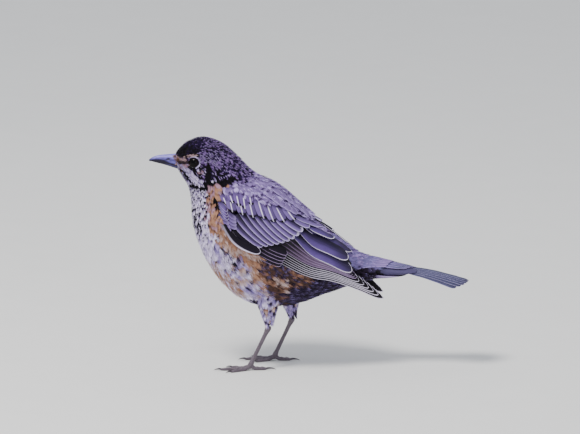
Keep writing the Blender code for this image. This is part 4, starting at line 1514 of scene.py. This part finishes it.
def covert_feathers(name, left):
    """Greater, median and lesser coverts; the last two with short streaks and dark tips."""
    blades = Blades(7)
    covert = palette("covert")
    fan(
        blades, 9, GREATER_ROOTS, GREATER_TIPS,
        dict(
            ground=covert, tip="white", tip_start=[0.99, 0.9], rim="covert_edge", rim_width=[0.36, 0.5],
            rim_inner=False, dusk=0.8, hollow=0.75, tone=1.3,
        ),
        width=[2.1, 3.4], inner=[3.6, 4.4], bend=[1.7, 2.5], heights=(-1.9, -0.5), shingle=0.09, rows=15, blunt=0.78,
        start=0.75,
    )
    streaked = dict(tip="black", rim="white", rim_width=0.0, shaft=0.0)
    # Their black tips are partly the feathers' own dark spots, partly painted shade under their edges.
    fan(
        blades, 7, MEDIAN_ROOTS, MEDIAN_TIPS,
        dict(
            **streaked, ground=covert, tip_start=0.86, tip_soft=0.05, streak=[0.34, 0.52],
            streak_start=0.2, dusk=0.3, keep_streak=0.6, tone=0.95,
        ),
        width=[3.6, 3.9], inner=[3.6, 3.9], bend=[0.0, 0.8], heights=(-1.1, -0.05), shingle=0.06, rows=15, blunt=0.66,
        start=0.8,
    )
    fan(
        blades, 4, [(-63.5, 123.5), (-62, 118)], [(-57.4, 117.2), (-56.8, 111.2)],
        dict(
            ground=covert * (0.8, 0.76, 0.88), tip="mantle_dark", tip_start=0.7, tip_soft=0.2,
            rim="covert_edge", rim_width=0.25, dusk=0.3, shaft=0.2,
        ),
        width=2.3, inner=2.3, bend=0.4, heights=(-1.0, 0.0), rows=10, columns=7, blunt=0.55, start=0.8,
    )
    fan(
        blades, 5, LESSER_ROOTS, LESSER_TIPS,
        dict(
            **streaked, ground=covert * (0.78, 0.7, 0.8), tip_start=0.8, tip_soft=0.06, streak=0.42,
            streak_start=0.42, dusk=0.2, keep_streak=0.8,
        ),
        width=2.7, inner=2.7, bend=0.2, heights=(-0.9, 0.15), rows=12, blunt=0.55, start=0.7,
    )
    for root, tip, width, bend in INNER_COVERTS:
        made = wing_vane(root, tip, width, 2.4, bend, rows=13, heights=(-1.0, 0.0), blunt=0.7, start=0.7, camber=1.8)
        blades.add(made, ground=covert, tip="black", rim="covert_edge", dusk=0.3, hollow=0.45)
    blades.build(f"{name}_covert_feathers", "grey_plumage", f"{name}_wing_coverts", left=left)


def scapular_feathers(name, left):
    """Scapulars: two rows of large soft feathers over the wing's root."""
    blades = Blades(4)
    looks = dict(
        ground="mantle", tip="mantle_dark", tip_start=0.84, tip_soft=0.12, rim="mantle_tip",
        rim_width=0.6, dusk=0.15, shaft=0.1,
    )
    for roots, tips, count, height in (
        ([(-33, 131), (-24, 125.5), (-17, 121)], [(-24.5, 124.0), (-15.4, 116.6), (-8.8, 112.6)], 5, 0.35),
        ([(-28, 132), (-18, 126), (-9, 119)], [(-19.6, 124.6), (-9.4, 116.4), (0.4, 108.0)], 6, 0.6),
    ):
        fan(
            blades, count, roots, tips, looks,
            width=3.0, inner=3.0, bend=0.5, heights=(-0.9, height), shingle=0.04, rows=11, blunt=0.55, start=0.7,
        )
    blades.build(f"{name}_scapular_feathers", "grey_plumage", left=left, soft=True)


def wing_lining(name, left):
    """The underside of a folded wing, which closes it behind the feathers, coloured near black as painted shade in the
    hollow under them.
    """
    x = np.linspace(-57, 44, 46)
    low = np.interp(x, *np.array(WING_FRONT[1:] + WING_LOW, float).T) + 2.5
    high = np.maximum(np.interp(x, *np.array(WING_BACK[::-1], float).T) - 5, low + 0.6)
    rings = []
    for place, first, last in zip(x, low, high):
        arcs = np.linspace(on_wing(place, first)[1], on_wing(place, last)[1], 24)
        outer, inner = (raised(wing_chart, place + 0 * arcs, arcs, z + 0 * arcs, WIDE_NUDGE, -1) for z in LINING)
        rings.append(np.concatenate([outer, inner[::-1]]))
    form = capped(np.array(rings))
    fit_piece(mesh_object(f"{name}_wing_lining", mirror(form) if left else form), shaded_lining_material(), "flight_feathers")


# The coverts over and under the tail. Each row is along a line of x and y for its roots and for its tips:
# count, height, ground and tip.
TAIL_COVERTS = {
    "over": (
        ([(30, 13), (33, 0), (30, -13)], [(54, 11), (59, 0), (54, -11)], 9, 0.0, "rump", "mantle"),
        ([(40, 11), (44, 0), (40, -11)], [(68, 8.6), (75, 0), (68, -8.6)], 7, -0.45, "rump", "tail"),
    ),
    # The under rows have a smoke ground, painted shade under the tail, with pale tips.
    "under": (
        ([(2, 13), (6, 0), (2, -13)], [(36, 12), (40, 0), (36, -12)], 9, 0.0, "smoke", "lavender"),
        ([(22, 11), (28, 0), (22, -11)], [(62, 9), (70, 0), (62, -9)], 7, -0.4, "smoke", "lilac"),
    ),
}


def tail_feathers():
    blades = Blades(5)
    for side in (1, -1):
        for k in range(5, -1, -1):
            made = vane(
                tail_chart, (56.0, side * (0.6 + 0.9 * k)), (111.6 - 0.35 * k * k, side * (0.7 + 2.55 * k)), 2.9, 4.6,
                side=-side, rows=20, heights=(-2.6, -0.15 - 0.16 * k), shingle=0.03, camber=0.12, blunt=0.9, thick=0.22,
            )
            blades.add(
                made, ground="tail", tip="tail_dark", rim="covert_edge", rim_width=0.22, rim_inner=False, dusk=0.62,
                tone=1.0 - 0.05 * k, tip_start=0.82, tip_soft=0.4,
            )
    blades.build("tail_feathers", "flight_feathers", "tail")


def tail_coverts():
    blades = Blades(6)
    for place, rows in TAIL_COVERTS.items():
        column, low = (0, False) if place == "over" else (2, True)

        def chart(p, q, column=column, low=low):
            turn = q / 12.0
            return body_chart(np.interp(p, BODY[:, column], np.arange(len(BODY))), math.pi - turn if low else turn)

        for roots, tips, count, height, ground, tip in rows:
            # The middle feather comes last and lies on top.
            for k in sorted(range(count), key=lambda k: -abs(k - (count - 1) / 2)):
                share = k / (count - 1)
                made = vane(
                    chart, on_line(roots, share), on_line(tips, share), 3.0, flip=-1 if low else 1, rows=14,
                    heights=(height - 1.0, height - 0.25 * abs(2 * share - 1)), shingle=0.0, blunt=0.5, start=0.7,
                )
                blades.add(
                    made, ground=ground, tip=tip, rim="mantle_tip", dusk=0.0, tip_start=0.5, tip_soft=0.3, shaft=0.15,
                    tone=0.9 + 0.2 * ((k * 0.618) % 1),
                )
    blades.build("tail_covert_feathers", "grey_plumage", soft=True)


# ---- Skin, bill, eyes and legs ----


def build_skin():
    s, a = grid(np.linspace(0.12, BODY_END, 150), circle(72))
    solids = [capped(tucked(raised(body_chart, s, a, -coat_depth(s))))]
    for name, leg in LEGS.items():
        t, turn = grid(np.linspace(-0.1, 0.97, 24), circle(28))
        limb = raised(thigh_chart(leg), t, turn, np.interp(t, [0, 1], [-1.6, -0.7]), flip=-1)
        solids.append(capped(limb * (1, SIDES[name], 1)))
    made = mesh_object("skin", joined(solids))
    remeshed(made, bpy.context.scene.robin_parts.skin_voxel, 3)
    shape_lids(made, eye_radius())
    colour_skin(made)
    nodes = ["head", "neck", "trunk", "rump", "left_thigh", "right_thigh"]
    fit_piece(made, skin_material(), "grey_plumage", *nodes)


def shape_lids(made, radius):
    """Refines the skin round each eye and forms the rims of the lids on the eyeball."""
    mesh = bmesh.new()
    mesh.from_mesh(made.data)
    eyes = [eye_frame(side)[0] for side in SIDES.values()]
    for _ in range(2):
        near = {
            edge for face in mesh.faces
            if min(np.linalg.norm(np.array(face.calc_center_median()) / MM - eye) for eye in eyes) < LID_AREA
            for edge in face.edges
        }
        bmesh.ops.subdivide_edges(mesh, edges=list(near), cuts=1, use_grid_fill=True)
    points = point_places(mesh.verts)
    for side in SIDES.values():
        far, angle, height = eye_polar(points, side)
        opening = lid_radius(angle)
        past = far - opening
        ball = np.sqrt(np.maximum(radius**2 - np.minimum(far, radius) ** 2, 0))
        rim = np.sqrt(np.maximum(radius**2 - opening**2, 0))
        inside = ball - 0.45 * smooth(-past, 0.0, 0.5) + LID_EDGE * (1 - smooth(-past, 0, 0.25))
        outside = rim + LID_EDGE + LID_SWELL * np.sin(np.clip(past / LID_WIDTH, 0, 1) * math.pi)
        lift = (np.where(past < 0, inside, outside) - height) * (1 - smooth(past, *LID_END))
        near = (far < LID_AREA - 0.2) & (height > 0)
        points = points + eye_frame(side)[1] * np.where(near, lift, 0)[:, None]
    for vertex, point in zip(mesh.verts, points * MM):
        vertex.co = point
    mesh.to_mesh(made.data)
    mesh.free()
    made.data.shade_smooth()


def colour_skin(made):
    """Gives the skin the markings of the feathers that root in it, deeper in tone as painted shade where it shows
    between the feathers.
    """
    coat, shown, _ = plan_coat()
    tree = tree_of(shown)
    points = point_places(made.data.vertices)
    nearest = [tree.find(point)[1] for point in points]
    grounds = np.array([palette(look[0]) for look in KINDS.values()])
    # Half the feathers' ground and some black: painted shade where the skin shows between the feathers.
    colours = grounds[coat["kind"][nearest]] * 0.5 + palette("black") * 0.2
    for side in SIDES.values():
        far, angle, height = eye_polar(points, side)
        colours[(far < lid_radius(angle) + 0.75) & (height > 0)] = part_colour("lid")
    point_values(made.data, "ground", np.pad(colours, ((0, 0), (0, 1)), constant_values=1.0))


def build_coat():
    coat, _, turn = plan_coat()
    p = coat["p"]
    back = turn < 1.3
    for name, keep, slot in (
        ("face_coat", p < 2.6, "dark_plumage"),
        ("head_coat", (p >= 2.6) & (p < HEAD_END), "dark_plumage"),
        ("neck_coat", (p >= HEAD_END) & (p < NECK_END), "dark_plumage"),
        ("back_coat", (p >= NECK_END) & (p < TRUNK_END) & back, "grey_plumage"),
        ("breast_coat", (p >= NECK_END) & (p < BREAST_END) & ~back, "grey_plumage"),
        ("belly_coat", (p >= BREAST_END) & (p < TRUNK_END) & ~back, "grey_plumage"),
        ("rump_coat", p >= TRUNK_END, "grey_plumage"),
    ):
        coat_object(name, lay_sorts(body_chart, chosen(coat, keep), press=tucked), slot)
    for name, side in SIDES.items():
        nostril_coat(name, side)


def build_bill():
    x, top, line, bottom, half = rows_at(BILL, np.linspace(0, len(BILL) - 1, 90)).T[..., None]
    angles = np.linspace(0, math.pi, 33)
    cos, sin = np.cos(angles), np.sin(angles)
    # The cutting edge hangs a little over the lower half, more so at the tip.
    base = line - 0.15 - 0.5 * smooth(-x, 106, 113)
    low = line - 0.1
    back = smooth(x, -104, -97)
    for name, node, y, z, inner_y, inner_z in (
        (
            "bill_upper", "upper_bill", half * cos * (1 - 0.16 * sin**6), base + (top - base) * sin**0.92,
            half * cos[::-1] * 0.72, line + 0.35,
        ),
        (
            "bill_lower", "lower_bill", half * 0.82 * cos, low - (low - bottom) * sin**0.8,
            half * cos[::-1] * 0.7, line - 0.2,
        ),
    ):
        inner_z = inner_z + 0 * cos
        outer, inner = (np.stack([x + 0 * y, *pair], -1) for pair in ((y, z), (inner_y, inner_z)))
        rings = np.concatenate([outer, inner[:, 1:-1]], 1)
        heights = np.concatenate([sin, 0 * sin[1:-1] - 0.2])
        dent = 0.0
        if name == "bill_upper":
            off_x, off_z = rings[..., 0] - NOSTRIL[0], rings[..., 2] - NOSTRIL[1]
            dent = hill(off_x, 0, NOSTRIL_REACH[0]) * hill(off_z - off_x * NOSTRIL_TILT, 0, NOSTRIL_REACH[1])
            dent = dent * (np.abs(rings[..., 1]) > 0.8)
            rings[..., 1] -= np.sign(rings[..., 1]) * dent * NOSTRIL_DEPTH
            # Lighter towards the ridge, a painted highlight and sheen on the bill's top, and dark along the cutting
            # edge ahead; behind, a pale gape under a dark line from the nostril.
            light = 0.03 + 0.97 * smooth(heights, 0.24 - 0.18 * back, 0.72 - 0.4 * back)
            light = light * (1 - 0.75 * back * hill(heights, 0.42, 0.12))
        else:
            light = 0.03 + 0.3 * back * (1 - smooth(heights, 0.2, 0.5)) * (heights > -0.1)
        # The tip is darker, and the nostril is painted dark: painted shade in its hollow.
        light = light * (1 - 0.6 * smooth(-x, 108.5, 112)) * (1 - np.clip(dent * 1.8, 0, 1))
        ridge, dark = part_colour("bill_ridge_sheen"), part_colour("bill_dark")
        shown = np.concatenate([(dark + (ridge - dark) * light[..., None]).reshape(-1, 3), [dark, dark]])
        form = {**capped(rings), "ground": np.pad(shown, ((0, 0), (0, 1)), constant_values=1.0)}
        made = mesh_object(name, form if name == "bill_upper" else turned(form))
        fit_piece(made, bill_material(), "horn", node)


def build_eyes():
    radius = eye_radius()
    for name, side in SIDES.items():
        tilt, turn = grid(np.linspace(0.0, math.pi, 40), circle(64))
        size = radius + CORNEA * hill(tilt, 0, 0.55)
        rings = on_eye(side, np.cos(tilt) * size, np.sin(tilt) * size, turn)
        form = loft(rings, iris=np.stack([tilt * radius, turn, tilt * 0], -1).reshape(-1, 3))
        made = mesh_object(f"{name}_eyeball", form if side > 0 else turned(form))
        fit_piece(made, eye_material(), "eye", f"{name}_eye")


def build_legs():
    for name, leg in LEGS.items():
        side = SIDES[name]
        ankle = np.array(leg["ankle"]) * (1, side, 1)
        ground = np.array((leg["foot"][0], leg["foot"][1] * side, 0.0))
        shank = ground + (0, 0, SHANK_END) - ankle
        shares = np.linspace(0, 1, 70)
        # Scutes ring the front of the shank.
        scutes = SCUTE_HEIGHT * (0.5 + 0.5 * np.cos(2 * math.pi * shares * SCUTES)) ** 3
        rings = tube(ankle + shares[:, None] * shank, np.interp(shares, *SHANK.T), 24, ridge=scutes)
        fit_piece(mesh_object(f"{name}_shank_skin", capped(rings)), leg_material(), "leg_skin", f"{name}_shank")
        joint = np.array([0.86, 0.93, 1.0])
        toes = [capped(tube(ankle + joint[:, None] * shank, np.array([1.4, 1.9, 1.9]), 20))]
        for toe, (heading, length, size, claw) in TOES.items():
            turn = math.radians(heading)
            ahead = np.array((-math.cos(turn), side * math.sin(turn), 0.0))

            def path(places, heights):
                return ground + ahead * places[:, None] + np.array((0, 0, 1.0)) * heights[:, None]

            shares = np.linspace(0, 1, 44)
            height, radius = (np.interp(shares, TOE_FORM[:, 0], TOE_FORM[:, c]) * size for c in (1, 2))
            scales = 0.07 * (0.5 + 0.5 * np.cos(2 * math.pi * shares * length / TOE_SCALE)) ** 2
            toes.append(capped(tube(path(shares * length, height), radius, 18, ridge=scales, floor=0.02)))
            shares = np.linspace(0, 1, 24)
            height, radius = columns_at_x(CLAW_FORM, shares) * size
            rings = tube(path(length - 0.5 + shares * claw, height), np.maximum(radius, 0.05), 16, flat=CLAW_WIDTH)
            fit_piece(mesh_object(f"{name}_{toe}_nail", capped(rings)), claw_material(), "horn", f"{name}_claw_{toe}")
        skin = mesh_object(f"{name}_foot_skin", joined(toes))
        remeshed(skin, FOOT_VOXEL, 1)
        fit_piece(skin, leg_material(), "leg_skin", f"{name}_foot")


def tube(path, radius, sides, ridge=None, floor=None, flat=1.0):
    """Rings round a path that never runs along Y; ridge thickens their front and upper side."""
    ahead = unit(np.gradient(path, axis=0))
    fore = unit(np.cross((0.0, 1.0, 0.0), ahead))
    wide = np.cross(ahead, fore)
    turn = (np.arange(sides) + 0.5) * 2 * math.pi / sides
    size = np.repeat(radius[:, None], sides, 1)
    if ridge is not None:
        facing = fore @ np.array((-0.8, 0, 0.6))
        size = size + ridge[:, None] * np.maximum(np.cos(turn) * np.sign(facing)[:, None], 0) ** 0.5
    rings = path[:, None] + fore[:, None] * (np.cos(turn) * size)[..., None]
    rings = rings + wide[:, None] * (np.sin(turn) * size * flat)[..., None]
    if floor is not None:
        rings[..., 2] = np.maximum(rings[..., 2], floor)
    return rings


# ---- Stage ----


def area_light(name, place, target, size, power, tint):
    lamp = bpy.data.lights.new(name, "AREA")
    lamp.shape, lamp.size = "DISK", size
    lamp.energy, lamp.color = power, tint
    holder, goal = link(name, lamp), link(f"{name}_aim", None)
    holder.location, goal.location = place, target
    aim = holder.constraints.new("TRACK_TO")
    aim.target = goal
    aim.track_axis, aim.up_axis = "TRACK_NEGATIVE_Z", "UP_Y"


def build_stage(stage):
    corners = np.array([(-9, -8, 0), (9, -8, 0), (9, 22, 0), (-9, 22, 0)]) / MM
    floor = mesh_object("floor", {"points": corners, "quads": np.array([(0, 1, 2, 3)]), "tris": np.zeros((0, 3), int)})
    floor.data.materials.append(floor_material(tuple(stage.floor)))

    world = bpy.data.worlds.new("surroundings")
    world.use_nodes = True
    background = world.node_tree.nodes["Background"]
    background.inputs[0].default_value = (0.88, 0.92, 1.0, 1.0)
    background.inputs[1].default_value = stage.sky
    bpy.context.scene.world = world

    middle = np.mean([np.array(corner) for corner in FRAME_BOX], 0)
    area_light("key_light", middle + (-0.55, -0.6, 1.5), middle, 0.5, stage.key, (1.0, 0.98, 0.95))
    area_light("fill_light", middle + (0.9, -2.4, 0.7), middle, 0.8, stage.fill, (0.86, 0.9, 1.0))

    camera = bpy.data.cameras.new("camera")
    camera.lens, camera.sensor_width, camera.clip_end = stage.lens, 36.0, 100.0
    holder = link("camera", camera)
    rise = stage.elevation
    holder.location = np.array(AIM) + stage.distance * np.array((0.0, -math.cos(rise), math.sin(rise)))
    holder.rotation_euler = (math.pi / 2 - rise, 0.0, 0.0)
    bpy.context.scene.camera = holder


# ---- Operators ----


class ROBIN_OT_stage(bpy.types.Operator):
    """A plain pale floor, soft studio light and the camera"""

    bl_idname = "robin.stage"
    bl_label = "Stage"

    def execute(self, context):
        build_stage(context.scene.robin_stage)
        return {"FINISHED"}


class ROBIN_OT_skin(bpy.types.Operator):
    """One skin over the head, neck, trunk, rump and thighs, with the lids modelled in it"""

    bl_idname = "robin.skin"
    bl_label = "Skin"

    def execute(self, context):
        build_skin()
        return {"FINISHED"}


class ROBIN_OT_coat(bpy.types.Operator):
    """The small feathers of the head, neck, breast, back, flanks, belly, rump and tail base"""

    bl_idname = "robin.coat"
    bl_label = "Small feathers"

    def execute(self, context):
        build_coat()
        return {"FINISHED"}


class ROBIN_OT_eye_rings(bpy.types.Operator):
    """The rings of tiny feathers round the eyes, white behind and below"""

    bl_idname = "robin.eye_rings"
    bl_label = "Eye rings"

    def execute(self, context):
        for name, side in SIDES.items():
            eye_ring(name, side)
        return {"FINISHED"}


class ROBIN_OT_thighs(bpy.types.Operator):
    """The feathers of the thighs, down to the ankles"""

    bl_idname = "robin.thighs"
    bl_label = "Thigh feathers"

    def execute(self, context):
        for name, leg in LEGS.items():
            thigh_coat(name, leg)
        return {"FINISHED"}


class ROBIN_OT_wings(bpy.types.Operator):
    """The folded wings: coverts, scapulars, tertials, secondaries, primaries and alula"""

    bl_idname = "robin.wings"
    bl_label = "Wings"

    def execute(self, context):
        for name, side in SIDES.items():
            for build in (wing_lining, flight_feathers, hand_feathers, covert_feathers, scapular_feathers):
                build(name, side < 0)
            shoulder_coat(name)
        return {"FINISHED"}


class ROBIN_OT_tail(bpy.types.Operator):
    """The twelve tail feathers, closed, the middle pair on top, with the coverts over and under them"""

    bl_idname = "robin.tail"
    bl_label = "Tail"

    def execute(self, context):
        tail_feathers()
        tail_coverts()
        return {"FINISHED"}


class ROBIN_OT_bill(bpy.types.Operator):
    """The two halves of the bill, with ridge, nostrils and gape line"""

    bl_idname = "robin.bill"
    bl_label = "Bill"

    def execute(self, context):
        build_bill()
        return {"FINISHED"}


class ROBIN_OT_eyes(bpy.types.Operator):
    """The eyeballs, dark with a brown iris"""

    bl_idname = "robin.eyes"
    bl_label = "Eyes"

    def execute(self, context):
        build_eyes()
        return {"FINISHED"}


class ROBIN_OT_legs(bpy.types.Operator):
    """The shanks with their scutes, the toes with their pads, and the claws"""

    bl_idname = "robin.legs"
    bl_label = "Legs"

    def execute(self, context):
        build_legs()
        return {"FINISHED"}


class ROBIN_PT_panel(bpy.types.Panel):
    """The robin's parts"""

    bl_idname = "ROBIN_PT_panel"
    bl_label = "Robin"
    bl_space_type = "VIEW_3D"
    bl_region_type = "UI"
    bl_category = "Robin"

    def draw(self, context):
        for step in STEPS:
            self.layout.operator(step.bl_idname)
        for group in GROUPS:
            box = self.layout.box()
            owner = getattr(context.scene, group)
            for key in owner.bl_rna.properties.keys():
                if key not in ("rna_type", "name"):
                    box.prop(owner, key)


STEPS = (
    ROBIN_OT_stage, ROBIN_OT_skin, ROBIN_OT_coat, ROBIN_OT_eye_rings, ROBIN_OT_thighs, ROBIN_OT_wings, ROBIN_OT_tail,
    ROBIN_OT_bill, ROBIN_OT_eyes, ROBIN_OT_legs,
)
GROUPS = {
    "robin_palette": RobinPalette, "robin_coat": RobinCoat, "robin_parts": RobinParts, "robin_stage": RobinStage,
}


def register():
    for group in GROUPS.values():
        bpy.utils.register_class(group)
    for key, group in GROUPS.items():
        setattr(bpy.types.Scene, key, PointerProperty(type=group))
    for step in STEPS:
        bpy.utils.register_class(step)
    bpy.utils.register_class(ROBIN_PT_panel)


def unregister():
    bpy.utils.unregister_class(ROBIN_PT_panel)
    for step in reversed(STEPS):
        bpy.utils.unregister_class(step)
    for key in GROUPS:
        delattr(bpy.types.Scene, key)
    for group in GROUPS.values():
        bpy.utils.unregister_class(group)


def main():
    register()
    for step in STEPS:
        group, name = step.bl_idname.split(".")
        getattr(getattr(bpy.ops, group), name)()
    bpy.context.view_layer.update()


if __name__ == "__main__":
    main()
